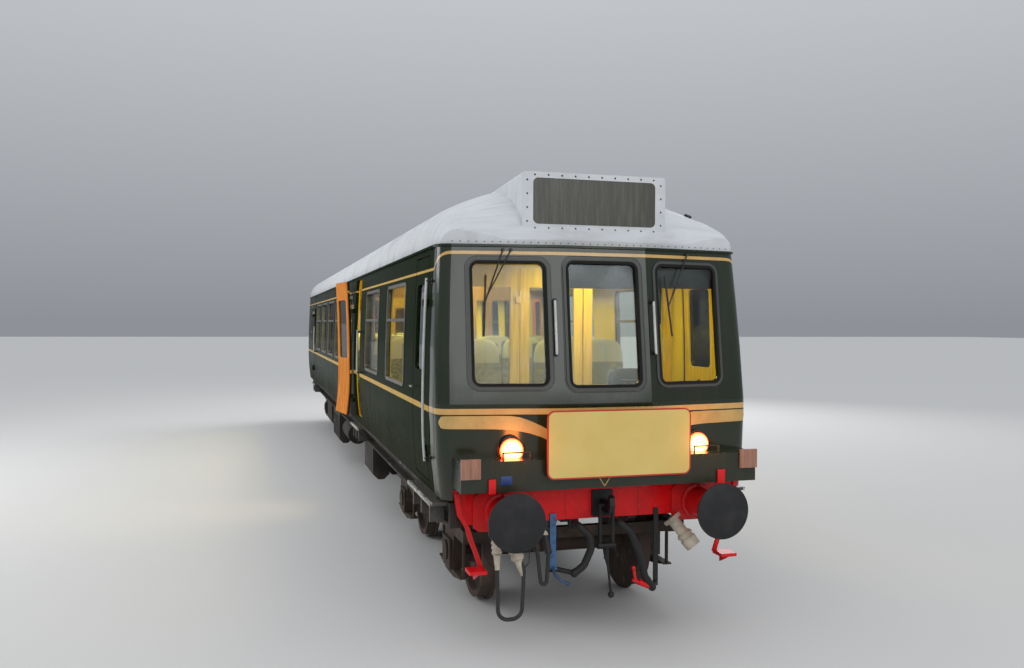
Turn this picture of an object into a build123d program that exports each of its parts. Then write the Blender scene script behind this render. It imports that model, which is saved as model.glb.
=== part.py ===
from build123d import *

import os
from math import atan, copysign, cos, radians, sin, sqrt, tan

# Driving coach of a diesel railcar set: a cab at the front end, two saloons and a gangway end
# X runs across the coach, the cab faces -Y, Z is up and zero is at the lowest point of the flanges
# Body sizes in millimetres; v is the distance behind the flat front panel
BODY_LENGTH = 17530
BUFFER_REACH = 370
REAR_BUFFER_REACH = 470
FRONT = -(BODY_LENGTH + REAR_BUFFER_REACH - BUFFER_REACH) / 2
SILL_Z = 1180
SILL_HALF = 1345
WAIST_Z = 1850
WAIST_HALF = 1395
CANT_Z = 3250
CANT_HALF = 1350
ROOF_RISE = 660
SHOULDER_SHARE = 0.66
WALL = 60
CAB_WALL = 50
END_WALL = 60
PARTITION = 40
DECK = 30
DECK_Z = SILL_Z - DECK
FLOOR_Z = 1250
SOLEBAR_Z = 950
SEAT_GAP = 0.3

# Cab front: flat centre, two side panels set back, small corner radius, upper half raked back
CENTRE_HALF = 400
FACET_ANGLE = radians(9.5)
CORNER_R = 125
RAKE_Z = 1950
RAKE = 170
CAB_BACK = 480
CAB_LENGTH = 1450

# Doorways and vestibules
CAB_DOOR = (660, 1300)
PASSENGER_DOOR_WIDTH = 740
PASSENGER_DOORS = (5620, BODY_LENGTH - 2780)
FRONT_VESTIBULE = (5520, 6460)
REAR_VESTIBULE = (BODY_LENGTH - 2890, BODY_LENGTH - 1970)
DOOR_THICK = 45
DOOR_TOP = 3205
CAB_DOOR_TOP = 3180
DOOR_CLEAR = 12
HINGE_X = WAIST_HALF + 12
SHUT_GAP = 20
OPEN_ANGLE = 173
HINGE_LEVELS = (1440, 2740)
KNUCKLE = 60
KNUCKLE_R = 14

# Windows
BAYS = 5
BAY_MARGIN = 20
BAY_START = FRONT_VESTIBULE[1] + PARTITION + BAY_MARGIN
BAY = (REAR_VESTIBULE[0] - BAY_MARGIN - BAY_START) / BAYS
FIRST_WINDOWS = (2450, 4360)
SECOND_WINDOWS = [BAY_START + BAY * (k + 0.5) for k in range(BAYS)]
LAVATORY_WINDOW = BODY_LENGTH - 1180
LAVATORY_WIDTH = 520
LAVATORY_SILL = 2350
WINDOW_WIDTH = 1240
WINDOW_Z = (1990, 2990)
WINDOW_CORNER = 70
PANE_INSET = 18
PANE = 8
FRAME_FACE = 24
FRAME_LIP = 10
FRAME_PROUD = 5
FRAME_DEEP = 34
TRANSOM_Z = 2630
TRANSOM = 30

# Running gear
BOGIES = (2667, BODY_LENGTH - 2671)
BOGIE_HALF = 1880
WHEELBASE = 2591
FLANGE_R = 485
TREAD_R = 457
WHEEL_IN = 682
WHEEL_OUT = 817
JOURNAL_END = 1045
JOURNAL_R = 60

# Ends
BUFFER_X = 870
BUFFER_Z = 1082
HEAD_R = 228

SIDES = {"left": -1, "right": 1}

os.makedirs("parts", exist_ok=True)


def at(v):
    """Y of a point v millimetres behind the flat front panel."""
    return v + FRONT


def half(z):
    """Half width of the body side at height z, on its two arcs."""
    if z < WAIST_Z:
        drop, rise = WAIST_HALF - SILL_HALF, WAIST_Z - SILL_Z
    else:
        drop, rise = WAIST_HALF - CANT_HALF, CANT_Z - WAIST_Z
    if drop == 0:
        return WAIST_HALF
    radius = (rise * rise + drop * drop) / (2 * drop)
    return WAIST_HALF - radius + copysign(sqrt(radius**2 - (z - WAIST_Z) ** 2), radius)


def cross(v):
    """Upright plane across the coach at v, its local Y pointing up."""
    return Plane(origin=(0, at(v), 0), x_dir=(1, 0, 0), z_dir=(0, -1, 0))


def along(x):
    """Upright plane along the coach at x, its local X pointing to the rear and Y up."""
    return Plane(origin=(x, 0, 0), x_dir=(0, 1, 0), z_dir=(1, 0, 0))


def save(piece, name):
    piece.part.label = name
    export_step(piece.part, f"parts/{name}.step")


def save_part(part, name):
    part.label = name
    export_step(part, f"parts/{name}.step")


def box(x0, x1, v0, v1, z0, z1, mode=Mode.ADD):
    """Box between two corners given as x, v and z, in any order."""
    with Locations(((x0 + x1) / 2, at((v0 + v1) / 2), (z0 + z1) / 2)):
        Box(abs(x1 - x0), abs(v1 - v0), abs(z1 - z0), mode=mode)


def rod(start, end, radius, mode=Mode.ADD):
    """Round bar between two points in x, v, z."""
    a = Vector(start[0], at(start[1]), start[2])
    b = Vector(end[0], at(end[1]), end[2])
    a, b = (b, a) if b.Z < a.Z else (a, b)
    with Locations(Plane(origin=(a + b) / 2, z_dir=b - a)):
        Cylinder(radius, (b - a).length, mode=mode)


def pipe(points, radii, radius):
    """Round pipe along x, v, z points with a bend radius at each corner."""
    spots = [Vector(x, at(v), z) for x, v, z in points]
    with BuildLine() as path:
        FilletPolyline(*spots, radius=radii)
    with BuildSketch(Plane(origin=spots[0], z_dir=spots[1] - spots[0])) as ring:
        Circle(radius)
    sweep(sections=ring.sketch, path=path.line)


def turned(plane, points):
    """Solid of revolution about a plane's local Y through its origin, from radius, height points."""
    with BuildSketch(plane) as profile:
        with BuildLine():
            Polyline(*points, close=True)
        make_face()
    revolve(profiles=profile.sketch, axis=Axis(plane.origin, plane.y_dir))


# Cross sections of the body


def side_profile(sign, outer, inner, z0, z1):
    """Strip of body side between two insets from the outer arcs and two heights."""
    levels = [z0] + [z for z in (WAIST_Z,) if z0 < z < z1] + [z1]
    with BuildSketch() as strip:
        with BuildLine():
            for inset in (outer, inner):
                for low, high in zip(levels, levels[1:]):
                    spots = [(sign * (half(z) - inset), z) for z in (low, (low + high) / 2, high)]
                    ThreePointArc(*spots)
            for z in (z0, z1):
                Line((sign * (half(z) - outer), z), (sign * (half(z) - inner), z))
        make_face()
    return strip.sketch


def roof_profile(width, rise, base):
    """Roof section: an arc at each shoulder and one across the top, tangent to each other."""
    shoulder = rise * SHOULDER_SHARE
    turn = radians(90) - 2 * atan((rise - shoulder) / (width - shoulder))
    x = width - shoulder + shoulder * cos(turn)
    z = base + shoulder * sin(turn)
    with BuildSketch() as section:
        with BuildLine():
            Line((-width, base), (width, base))
            TangentArc((width, base), (x, z), tangent=(0, 1))
            ThreePointArc((x, z), (0, base + rise), (-x, z))
            TangentArc((-width, base), (-x, z), tangent=(0, 1))
        make_face()
    return section.sketch


def cab_outline(z, inset, back):
    """Plan of the cab front at height z: five flats and two corner arcs."""
    lean = RAKE * max(0, z - RAKE_Z) / (CANT_Z - RAKE_Z)
    nose = lean + inset
    side = half(min(z, CANT_Z)) - inset
    corner = CORNER_R - inset
    centre = CENTRE_HALF - inset * tan(FACET_ANGLE / 2)
    reach = side - corner * (1 - sin(FACET_ANGLE))
    reach_v = nose + (reach - centre) * tan(FACET_ANGLE)
    end_v = reach_v + corner * cos(FACET_ANGLE)
    slope = (cos(FACET_ANGLE), sin(FACET_ANGLE))
    with BuildSketch() as plan:
        with BuildLine():
            Line((-centre, at(nose)), (centre, at(nose)))
            Line((centre, at(nose)), (reach, at(reach_v)))
            TangentArc((reach, at(reach_v)), (side, at(end_v)), tangent=slope)
            Line((side, at(end_v)), (side, at(back)))
            Line((side, at(back)), (-side, at(back)))
            Line((-side, at(back)), (-side, at(end_v)))
            TangentArc((-reach, at(reach_v)), (-side, at(end_v)), tangent=(-slope[0], slope[1]))
            Line((-reach, at(reach_v)), (-centre, at(nose)))
        make_face()
    return plan.sketch


CAB_LEVELS = (SILL_Z, 1500, WAIST_Z, RAKE_Z, 2400, 2850, CANT_Z)


def cab_block(inset, back):
    """Solid of the cab front between the sill and the cantrail."""
    with BuildPart() as block:
        for z in CAB_LEVELS:
            with BuildSketch(Plane.XY.offset(z)):
                add(cab_outline(z, inset, back))
        loft(ruled=True)
    return block.part


cab_outer = cab_block(0, CAB_BACK)

# Body sides with their windows and doorways

SIDE_REACH = 1600


def window_prism(sign, v, width, z0, z1, corner):
    """Prism through one body side with the outline of a rounded window."""
    plane = Plane(origin=(0, at(v), (z0 + z1) / 2), x_dir=(0, 1, 0), z_dir=(1, 0, 0))
    with BuildPart() as prism:
        with BuildSketch(plane):
            RectangleRounded(width, z1 - z0, corner)
        extrude(amount=sign * SIDE_REACH)
    return prism.part


# v of the middle, width, low edge, high edge, corner radius
WINDOWS = [(v, WINDOW_WIDTH, *WINDOW_Z, WINDOW_CORNER) for v in (*FIRST_WINDOWS, *SECOND_WINDOWS)]
WINDOWS.append((LAVATORY_WINDOW, LAVATORY_WIDTH, LAVATORY_SILL, WINDOW_Z[1], WINDOW_CORNER))

# v of the hinge pin, side of it that the leaf lies on, width, top, window's low and high edge
CAB_LEAF = (CAB_DOOR[0], 1, CAB_DOOR[1] - CAB_DOOR[0], CAB_DOOR_TOP, 2190, 2940)
PASSENGER_LEAVES = [
    (v + PASSENGER_DOOR_WIDTH, -1, PASSENGER_DOOR_WIDTH, DOOR_TOP, 2080, 2930) for v in PASSENGER_DOORS
]

BRACKET = (14, 60)
LUG_IN = 12
LUG_OUT = 8
LUG_REACH = 30
GUTTER_PROUD = 18
GUTTER_HIGH = 20

body_sides = []
for side, sign in SIDES.items():
    with BuildPart() as body_side:
        with BuildSketch(cross(CAB_BACK)):
            add(side_profile(sign, 0, WALL, SILL_Z, CANT_Z))
        extrude(amount=-(BODY_LENGTH - CAB_BACK))
        for window in WINDOWS:
            add(window_prism(sign, *window), mode=Mode.SUBTRACT)
        for v_hinge, forward, width, top, low, high in (CAB_LEAF, *PASSENGER_LEAVES):
            door_end = v_hinge + forward * width
            box(sign * CANT_HALF / 2, sign * SIDE_REACH, v_hinge, door_end, FLOOR_Z, top, Mode.SUBTRACT)
            # Hinge brackets on the door pillar
            for z in HINGE_LEVELS:
                near, far = [v_hinge - forward * reach for reach in BRACKET]
                box(sign * (half(z) - WALL / 2), sign * HINGE_X, near, far, z, z + KNUCKLE)
                rod((sign * HINGE_X, v_hinge, z), (sign * HINGE_X, v_hinge, z + KNUCKLE), KNUCKLE_R)
                lug = (sign * (HINGE_X - LUG_IN), sign * (HINGE_X + LUG_OUT))
                box(*lug, v_hinge, v_hinge - forward * LUG_REACH, z, z + KNUCKLE)
        gutter = (sign * (CANT_HALF - 5), sign * (CANT_HALF + GUTTER_PROUD))
        box(*gutter, CAB_BACK, BODY_LENGTH, CANT_Z - GUTTER_HIGH, CANT_Z)
    save(body_side, f"body_side_{side}")
    body_sides.append(body_side.part)

# Doors: a leaf of the side's own section with its pane, hinge straps and turning handle

DOOR_STILE = 95
DOOR_CORNER = 50
HANDLE_Z = 2030
HANDLE_REACH = 42
HANDLE_LENGTH = 110
HANDLE_R = 9


def door_leaf(sign, v_hinge, forward, width, top, low, high):
    """Leaf hung at v_hinge; forward is +1 when the leaf runs rearwards from its pin."""
    near = v_hinge + forward * DOOR_CLEAR
    far = v_hinge + forward * (width - SHUT_GAP)
    v0, v1 = sorted((near, far))
    mid = (v0 + v1) / 2
    glass_width = v1 - v0 - 2 * DOOR_STILE
    with BuildPart() as pane:
        with BuildSketch(cross(v0)):
            add(side_profile(sign, PANE_INSET, PANE_INSET + PANE, low - PANE, high + PANE))
        extrude(amount=-(v1 - v0))
        gap = SEAT_GAP
        outline = window_prism(sign, mid, glass_width - 2 * gap, low + gap, high - gap, DOOR_CORNER - gap)
        add(outline, mode=Mode.INTERSECT)
    with BuildPart() as leaf:
        with BuildSketch(cross(v0)):
            add(side_profile(sign, 0, DOOR_THICK, FLOOR_Z + DOOR_CLEAR, top - DOOR_CLEAR))
        extrude(amount=-(v1 - v0))
        add(window_prism(sign, mid, glass_width, low, high, DOOR_CORNER), mode=Mode.SUBTRACT)
        for level in HINGE_LEVELS:
            z = level + KNUCKLE + SEAT_GAP
            start, end = [v_hinge + forward * reach for reach in BRACKET]
            box(sign * (half(z) - DOOR_THICK / 2), sign * (HINGE_X + 6), start, end, z, z + KNUCKLE)
            rod((sign * HINGE_X, v_hinge, z), (sign * HINGE_X, v_hinge, z + KNUCKLE), KNUCKLE_R)
            lug = (sign * (HINGE_X - LUG_IN), sign * (HINGE_X + LUG_OUT))
            box(*lug, v_hinge, v_hinge + forward * LUG_REACH, z, z + KNUCKLE)
        # Handle: a spindle near the shutting edge and a lever along the door
        grip = far - forward * DOOR_STILE / 2
        face = half(HANDLE_Z)
        rod((sign * (face - 5), grip, HANDLE_Z), (sign * (face + HANDLE_REACH), grip, HANDLE_Z), HANDLE_R)
        lever_x = sign * (face + HANDLE_REACH - HANDLE_R)
        rod((lever_x, grip, HANDLE_Z), (lever_x, grip - forward * HANDLE_LENGTH, HANDLE_Z), HANDLE_R)
        add(pane.part)
    return leaf.part


DOORS = {"cab_door": CAB_LEAF, "door_front": PASSENGER_LEAVES[0], "door_rear": PASSENGER_LEAVES[1]}
for side, sign in SIDES.items():
    for name, leaf_sizes in DOORS.items():
        leaf = door_leaf(sign, *leaf_sizes)
        if (name, side) == ("door_front", "left"):
            pin = Axis((sign * HINGE_X, at(leaf_sizes[0]), 0), (0, 0, 1))
            leaf = leaf.rotate(pin, -OPEN_ANGLE)
        save_part(leaf, f"{name}_{side}")

# Window panes of the body sides, and the frames round them with a transom below the ventilators


def window_set(sign, grown):
    """Prisms of one side's windows, larger all round by the amount grown."""
    with BuildPart() as prisms:
        for v, width, low, high, corner in WINDOWS:
            add(window_prism(sign, v, width + 2 * grown, low - grown, high + grown, corner + grown))
    return prisms.part


def side_strip(sign, outer, inner):
    """Side strip between two insets that spans all the windows."""
    reach = FRAME_LIP + WINDOW_WIDTH
    with BuildPart() as strip:
        with BuildSketch(cross(WINDOWS[0][0] - reach)):
            add(side_profile(sign, outer, inner, WINDOW_Z[0] - 2 * FRAME_LIP, WINDOW_Z[1] + 2 * FRAME_LIP))
        extrude(amount=-(WINDOWS[-1][0] - WINDOWS[0][0] + 2 * reach))
    return strip.part


for side, sign in SIDES.items():
    with BuildPart() as glass_outlines:
        add(window_set(sign, -FRAME_FACE))
        x0, x1 = sign * (CANT_HALF - 2 * WALL), sign * SIDE_REACH
        last_bay = SECOND_WINDOWS[-1] + WINDOW_WIDTH / 2
        bar = (TRANSOM_Z - TRANSOM / 2, TRANSOM_Z + TRANSOM / 2)
        box(x0, x1, WINDOWS[0][0] - WINDOW_WIDTH, last_bay, *bar, mode=Mode.SUBTRACT)
    with BuildPart() as lips:
        add(side_strip(sign, -FRAME_PROUD, 0))
        add(window_set(sign, FRAME_LIP), mode=Mode.INTERSECT)
    with BuildPart() as window_frames:
        add(side_strip(sign, 0, FRAME_DEEP))
        add(window_set(sign, 0), mode=Mode.INTERSECT)
        add(lips.part)
        add(glass_outlines.part, mode=Mode.SUBTRACT)
    save(window_frames, f"window_frames_{side}")
    with BuildPart() as side_panes:
        add(side_strip(sign, PANE_INSET, PANE_INSET + PANE))
        add(glass_outlines.part, mode=Mode.INTERSECT)
    save(side_panes, f"side_windows_{side}")

# Saloon roof, hollow, from the cab bulkhead to the inner end

ROOF_LENGTH = BODY_LENGTH - CAB_LENGTH
ROOF_TOP = CANT_Z + ROOF_RISE

with BuildPart() as roof_block:
    with BuildSketch(cross(CAB_LENGTH)):
        add(roof_profile(CANT_HALF, ROOF_RISE, CANT_Z))
    extrude(amount=-ROOF_LENGTH)

with BuildPart() as roof:
    add(roof_block.part)
    with BuildSketch(cross(CAB_LENGTH)):
        add(roof_profile(CANT_HALF - WALL, ROOF_RISE - WALL, CANT_Z))
    extrude(amount=-ROOF_LENGTH, mode=Mode.SUBTRACT)
save(roof, "roof")

VENT_COUNT = 8
VENT_SINK = 12
# radius, height above the foot
VENT_FORM = ((0, 0), (150, 0), (150, 24), (132, 44), (80, 62), (0, 70))

with BuildPart() as roof_vents:
    for k in range(VENT_COUNT):
        spot = CAB_LENGTH + ROOF_LENGTH * (k + 0.5) / VENT_COUNT
        foot = (0, at(spot), ROOF_TOP - VENT_SINK)
        turned(Plane(origin=foot, x_dir=(1, 0, 0), z_dir=(0, -1, 0)), VENT_FORM)
    add(roof_block.part, mode=Mode.SUBTRACT)
save(roof_vents, "roof_vents")

# Cab dome: roof sections that shrink towards the front, cut to the cab's plan at the cantrail

DOME_FRONT = 240
# share of the dome's length, half width lost, share of the roof's rise
DOME_SECTIONS = (
    (0.0, 90, 0.076),
    (0.05, 40, 0.258),
    (0.13, 10, 0.47),
    (0.256, 0, 0.65),
    (0.42, 0, 0.818),
    (0.63, 0, 0.94),
    (0.876, 0, 1.0),
    (1.0, 0, 1.0),
)
HEADCODE_HALF = 650
HEADCODE_Z = (3386, 3872)
HEADCODE_FALL = 37
HEADCODE_SINK = 60
HEADCODE_V = 300
HEADCODE_BACK = 1400
HEADCODE_CORNER = 30
HEADCODE_GLASS = (1110, 386, 45)
RECESS = 12
RECESS_GLASS = 7

with BuildPart() as headcode_box:
    for v, top in ((HEADCODE_V, HEADCODE_Z[1]), (HEADCODE_BACK, HEADCODE_Z[1] - HEADCODE_FALL)):
        foot = HEADCODE_Z[0] - HEADCODE_SINK
        with BuildSketch(cross(v)):
            with Locations((0, (foot + top) / 2)):
                RectangleRounded(2 * HEADCODE_HALF, top - foot, HEADCODE_CORNER)
    loft(ruled=True)

with BuildPart() as cab_dome:
    for share, lost, rise in DOME_SECTIONS:
        with BuildSketch(cross(DOME_FRONT + share * (CAB_LENGTH - DOME_FRONT))):
            add(roof_profile(CANT_HALF - lost, ROOF_RISE * rise, CANT_Z))
    loft(ruled=True)
    with BuildSketch(Plane.XY.offset(CANT_Z)):
        add(cab_outline(CANT_Z, 0, CAB_LENGTH))
    extrude(amount=ROOF_RISE + WALL, mode=Mode.INTERSECT)
    add(headcode_box.part)
    with BuildSketch(cross(HEADCODE_V)):
        with Locations((0, sum(HEADCODE_Z) / 2)):
            RectangleRounded(*HEADCODE_GLASS)
    extrude(amount=-RECESS, mode=Mode.SUBTRACT)
save(cab_dome, "cab_dome")

with BuildPart() as headcode_panel:
    with BuildSketch(cross(HEADCODE_V + RECESS - RECESS_GLASS)):
        with Locations((0, sum(HEADCODE_Z) / 2)):
            RectangleRounded(*HEADCODE_GLASS)
    extrude(amount=-RECESS_GLASS)
save(headcode_panel, "headcode_panel")

# Cab front shell with its three windows and their rubber seals

# x centre, width, low edge, high edge
CAB_WINDOWS = ((0, 646, 2075, 3125), (-799, 626, 2090, 3115), (799, 626, 2090, 3115))
CAB_CORNER = 75
NOTCH_Z = 1265
NOTCH_HALF = 1264
BEAM_FACE = 120
BEAM_BACK = 180
SEAL_IN = 24
SEAL_OUT = 24
SEAL_PROUD = 9
SEAL_DEEP = 40


def cab_prisms(grown):
    """Prisms of the cab's three front windows, larger all round by the amount grown."""
    with BuildPart() as prisms:
        for x, width, low, high in CAB_WINDOWS:
            with BuildSketch(cross(-WALL)):
                with Locations((x, (low + high) / 2)):
                    RectangleRounded(width + 2 * grown, high - low + 2 * grown, CAB_CORNER + grown)
            extrude(amount=-CAB_BACK)
    return prisms.part


def cab_skin(outer, inner):
    """Layer of the cab front between two insets."""
    with BuildPart() as skin:
        add(cab_block(outer, CAB_BACK))
        add(cab_block(inner, CAB_BACK + WALL), mode=Mode.SUBTRACT)
    return skin.part


with BuildPart() as cab_front:
    add(cab_skin(0, CAB_WALL))
    add(cab_prisms(0), mode=Mode.SUBTRACT)
    box(-NOTCH_HALF, NOTCH_HALF, -WALL, BEAM_BACK, SILL_Z, NOTCH_Z, mode=Mode.SUBTRACT)
    with BuildSketch(Plane.XY.offset(CANT_Z - GUTTER_HIGH)):
        add(cab_outline(CANT_Z, -GUTTER_PROUD, CAB_BACK))
        add(cab_outline(CANT_Z, 5, CAB_BACK + WALL), mode=Mode.SUBTRACT)
    extrude(amount=GUTTER_HIGH)
save(cab_front, "cab_front")

seal_openings = cab_prisms(-SEAL_IN)
with BuildPart() as seal_lips:
    add(cab_skin(-SEAL_PROUD, -SEAT_GAP))
    add(cab_prisms(SEAL_OUT), mode=Mode.INTERSECT)
with BuildPart() as cab_window_seals:
    add(cab_skin(-SEAT_GAP, SEAL_DEEP))
    add(cab_prisms(0), mode=Mode.INTERSECT)
    add(seal_lips.part)
    add(seal_openings, mode=Mode.SUBTRACT)
save(cab_window_seals, "cab_window_seals")

with BuildPart() as cab_windows:
    add(cab_skin(PANE_INSET, PANE_INSET + PANE))
    add(seal_openings, mode=Mode.INTERSECT)
save(cab_windows, "cab_windows")

# Wipers: bosses above the glass, arms and blades

# arms as pairs of top and foot, then the blade's top and foot, each in x, v, z
WIPERS = (
    (
        ((-838, 216, 3204), (-996, 186, 2768)),
        ((-773, 205, 3204), (-990, 187, 2800)),
        ((-984, 214, 2996), (-1010, 154, 2501)),
    ),
    (
        ((819, 213, 3204), (599, 118, 2752)),
        ((576, 148, 3009), (621, 88, 2497)),
    ),
)
ARM_R = 6
BLADE_R = 8
BOSS_R = 13
BOSS_BACK = 60

with BuildPart() as wipers:
    for *arms, blade in WIPERS:
        for top, foot in arms:
            rod(top, foot, ARM_R)
            rod((top[0], top[1] - BLADE_R, top[2]), (top[0], top[1] + BOSS_BACK, top[2]), BOSS_R)
        rod(*blade, BLADE_R)
    add(cab_outer, mode=Mode.SUBTRACT)
save(wipers, "wipers")

# Fairing below the cab windows, cut to the cab front, with lamp irons and wooden corner pads

FAIRING_V = -170
FAIRING_HALF = 1270
FAIRING_Z = (1290, 1530)
# x range of each lamp iron
LAMP_IRONS = ((-1054, -998), (908, 975))
IRON = 8
IRON_REACH = 20
IRON_TOP = 1395

with BuildPart() as fairing_block:
    box(-FAIRING_HALF, FAIRING_HALF, FAIRING_V, 300, *FAIRING_Z)
    add(cab_outer, mode=Mode.SUBTRACT)
with BuildPart() as fairing:
    add(fairing_block.part.solids().sort_by(Axis.Y)[0])
    for x0, x1 in LAMP_IRONS:
        box(x0, x1, FAIRING_V - IRON_REACH, FAIRING_V + 80, FAIRING_Z[0] - IRON, FAIRING_Z[0])
        front = FAIRING_V - IRON_REACH
        box(x0, x1, front, front + IRON, FAIRING_Z[0] - IRON, IRON_TOP)
save(fairing, "fairing")

PAD_X = 1196
PAD_HALF = 78
PAD_THICK = 22
PAD_Z = (1400, 1555)
with BuildPart() as corner_pads:
    for sign in SIDES.values():
        box(sign * (PAD_X - PAD_HALF), sign * (PAD_X + PAD_HALF), FAIRING_V - PAD_THICK, FAIRING_V, *PAD_Z)
save(corner_pads, "corner_pads")

BOARD_V = -240
BOARD_THICK = 14
BOARD_SIZE = (1230, 540, 60)
BOARD_CENTRE = (18, 1650)
with BuildPart() as headboard:
    with BuildSketch(cross(BOARD_V)):
        with Locations(BOARD_CENTRE):
            RectangleRounded(*BOARD_SIZE)
    extrude(amount=-BOARD_THICK)
    for x in (-420, 420):
        box(x - 20, x + 20, BOARD_V + BOARD_THICK, FAIRING_V, 1400, 1500)
save(headboard, "headboard")

LAMP_X = 819
LAMP_Z = 1617
LAMP_BACK = 140
# radius, height above the lamp's back
LAMP_FORM = ((0, 0), (84, 0), (86, 122), (76, 128), (72, 124), (56, 134), (30, 141), (0, 143))
with BuildPart() as marker_lamps:
    for sign in SIDES.values():
        spot = (sign * LAMP_X, at(LAMP_BACK), LAMP_Z)
        turned(Plane(origin=spot, x_dir=(1, 0, 0), z_dir=(0, 0, -1)), LAMP_FORM)
    add(cab_outer, mode=Mode.SUBTRACT)
save(marker_lamps, "marker_lamps")

# Handrails: two on the cab front, one ahead of each cab door, one beside each passenger door

RAIL_R = 11
STUD_R = 9
STUD_SINK = 30
RAIL_OFF = 48
FRONT_RAIL = (430, 2350, 2790)
CAB_RAIL = (520, 1450, 2975)
DOOR_RAIL = (-110, 1900, 2500)
RAIL_END = 22

with BuildPart() as handrails:
    x, low, high = FRONT_RAIL
    for sign in SIDES.values():
        ends = []
        for z in (low, high):
            skin = RAKE * (z - RAKE_Z) / (CANT_Z - RAKE_Z)
            ends.append((sign * x, skin - RAIL_OFF, z))
            stud = z + RAIL_END if z == low else z - RAIL_END
            rod((sign * x, skin - RAIL_OFF, stud), (sign * x, skin + STUD_SINK, stud), STUD_R)
        rod(*ends, RAIL_R)
        rails = [CAB_RAIL] + [(v + DOOR_RAIL[0], *DOOR_RAIL[1:]) for v in PASSENGER_DOORS]
        for v, low, high in rails:
            levels = (low, (low + high) / 2, high)
            spots = [Vector(sign * (half(z) + RAIL_OFF), at(v), z) for z in levels]
            with BuildLine() as path:
                ThreePointArc(*spots)
            with BuildSketch(Plane(origin=spots[0], z_dir=path.line % 0)) as ring:
                Circle(RAIL_R)
            sweep(sections=ring.sketch, path=path.line)
            for z in (low + RAIL_END, high - RAIL_END):
                rod((sign * (half(z) + RAIL_OFF), v, z), (sign * (half(z) - STUD_SINK), v, z), STUD_R)
    add(cab_outer, mode=Mode.SUBTRACT)
    add(body_sides, mode=Mode.SUBTRACT)
save(handrails, "handrails")

# Cross walls with glazed upper halves, and inner doors hung on knuckles at one edge of a doorway

GANGWAY_HALF = 330
GANGWAY_TOP = 3150
SALOON_DOOR_HALF = 380
PARTITION_HALF = min(SILL_HALF, CANT_HALF) - WALL - 1
INNER_HINGES = (1500, 2800)
INNER_KNUCKLE_R = 9
INNER_PIN = INNER_KNUCKLE_R + 1
STRAP = 40
LEAF_V = (6, 38)
GLAZED_Z = (2000, 2950)
GLAZED_STILE = 90


def glazing(x0, x1, v0, v1):
    """Pane in the middle of a wall or door, a running gap clear of its opening."""
    mid = (v0 + v1) / 2
    gap = SEAT_GAP
    box(x0 + gap, x1 - gap, mid - PANE / 2, mid + PANE / 2, GLAZED_Z[0] + gap, GLAZED_Z[1] - gap)


def wall_knuckles(x, v, wall):
    """Knuckles ahead of a cross wall at v; wall is the side of the pin the wall lies on."""
    pin = v - INNER_PIN
    for z in INNER_HINGES:
        box(x, x + wall * STRAP, pin - INNER_KNUCKLE_R, v, z, z + KNUCKLE)
        rod((x, pin, z), (x, pin, z + KNUCKLE), INNER_KNUCKLE_R)


def inner_door(x, v, wall):
    """Flat glazed inner door in the cross wall at v, swinging towards the cab on a pin at x."""
    pin = v - INNER_PIN
    near, far = x - wall * DOOR_CLEAR, x - wall * (2 * GANGWAY_HALF - DOOR_CLEAR)
    x0, x1 = sorted((near, far))
    with BuildPart() as leaf:
        front, back = v + LEAF_V[0], v + LEAF_V[1]
        box(x0, x1, front, back, FLOOR_Z + DOOR_CLEAR, GANGWAY_TOP - DOOR_CLEAR)
        opening = (x0 + GLAZED_STILE, x1 - GLAZED_STILE, front, back)
        box(*opening, *GLAZED_Z, mode=Mode.SUBTRACT)
        glazing(*opening)
        for level in INNER_HINGES:
            z = level + KNUCKLE + SEAT_GAP
            rod((x, pin, z), (x, pin, z + KNUCKLE), INNER_KNUCKLE_R)
            box(near, x - wall * STRAP, pin - INNER_KNUCKLE_R, front + 1, z, z + KNUCKLE)
            box(x, near, pin - INNER_KNUCKLE_R, v - 0.5, z, z + KNUCKLE)
    return leaf


def cross_wall(v, door_half, glazed=True):
    """Cross wall at v with a central doorway, glazed on both sides of it or not."""
    box(-PARTITION_HALF, PARTITION_HALF, v, v + PARTITION, FLOOR_Z, CANT_Z - 1)
    box(-door_half, door_half, v, v + PARTITION, FLOOR_Z, GANGWAY_TOP, mode=Mode.SUBTRACT)
    for sign in SIDES.values() if glazed else ():
        near, far = sign * (door_half + GLAZED_STILE), sign * (PARTITION_HALF - GLAZED_STILE)
        opening = (*sorted((near, far)), v, v + PARTITION)
        box(*opening, *GLAZED_Z, mode=Mode.SUBTRACT)
        glazing(*opening)


with BuildPart() as cab_bulkhead:
    cross_wall(CAB_LENGTH, GANGWAY_HALF)
    wall_knuckles(-GANGWAY_HALF, CAB_LENGTH, -1)
save(cab_bulkhead, "cab_bulkhead")

with BuildPart() as partitions:
    for v in (*FRONT_VESTIBULE, REAR_VESTIBULE[0]):
        cross_wall(v, SALOON_DOOR_HALF)
    cross_wall(REAR_VESTIBULE[1], SALOON_DOOR_HALF, glazed=False)
save(partitions, "partitions")

save(inner_door(-GANGWAY_HALF, CAB_LENGTH, -1), "cab_inner_door")
save(inner_door(GANGWAY_HALF, BODY_LENGTH - END_WALL, 1), "gangway_door")

# Inner end wall with its gangway doorway, and the pleated gangway on it

END_V = BODY_LENGTH - END_WALL
END_CENTRE = 200

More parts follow.
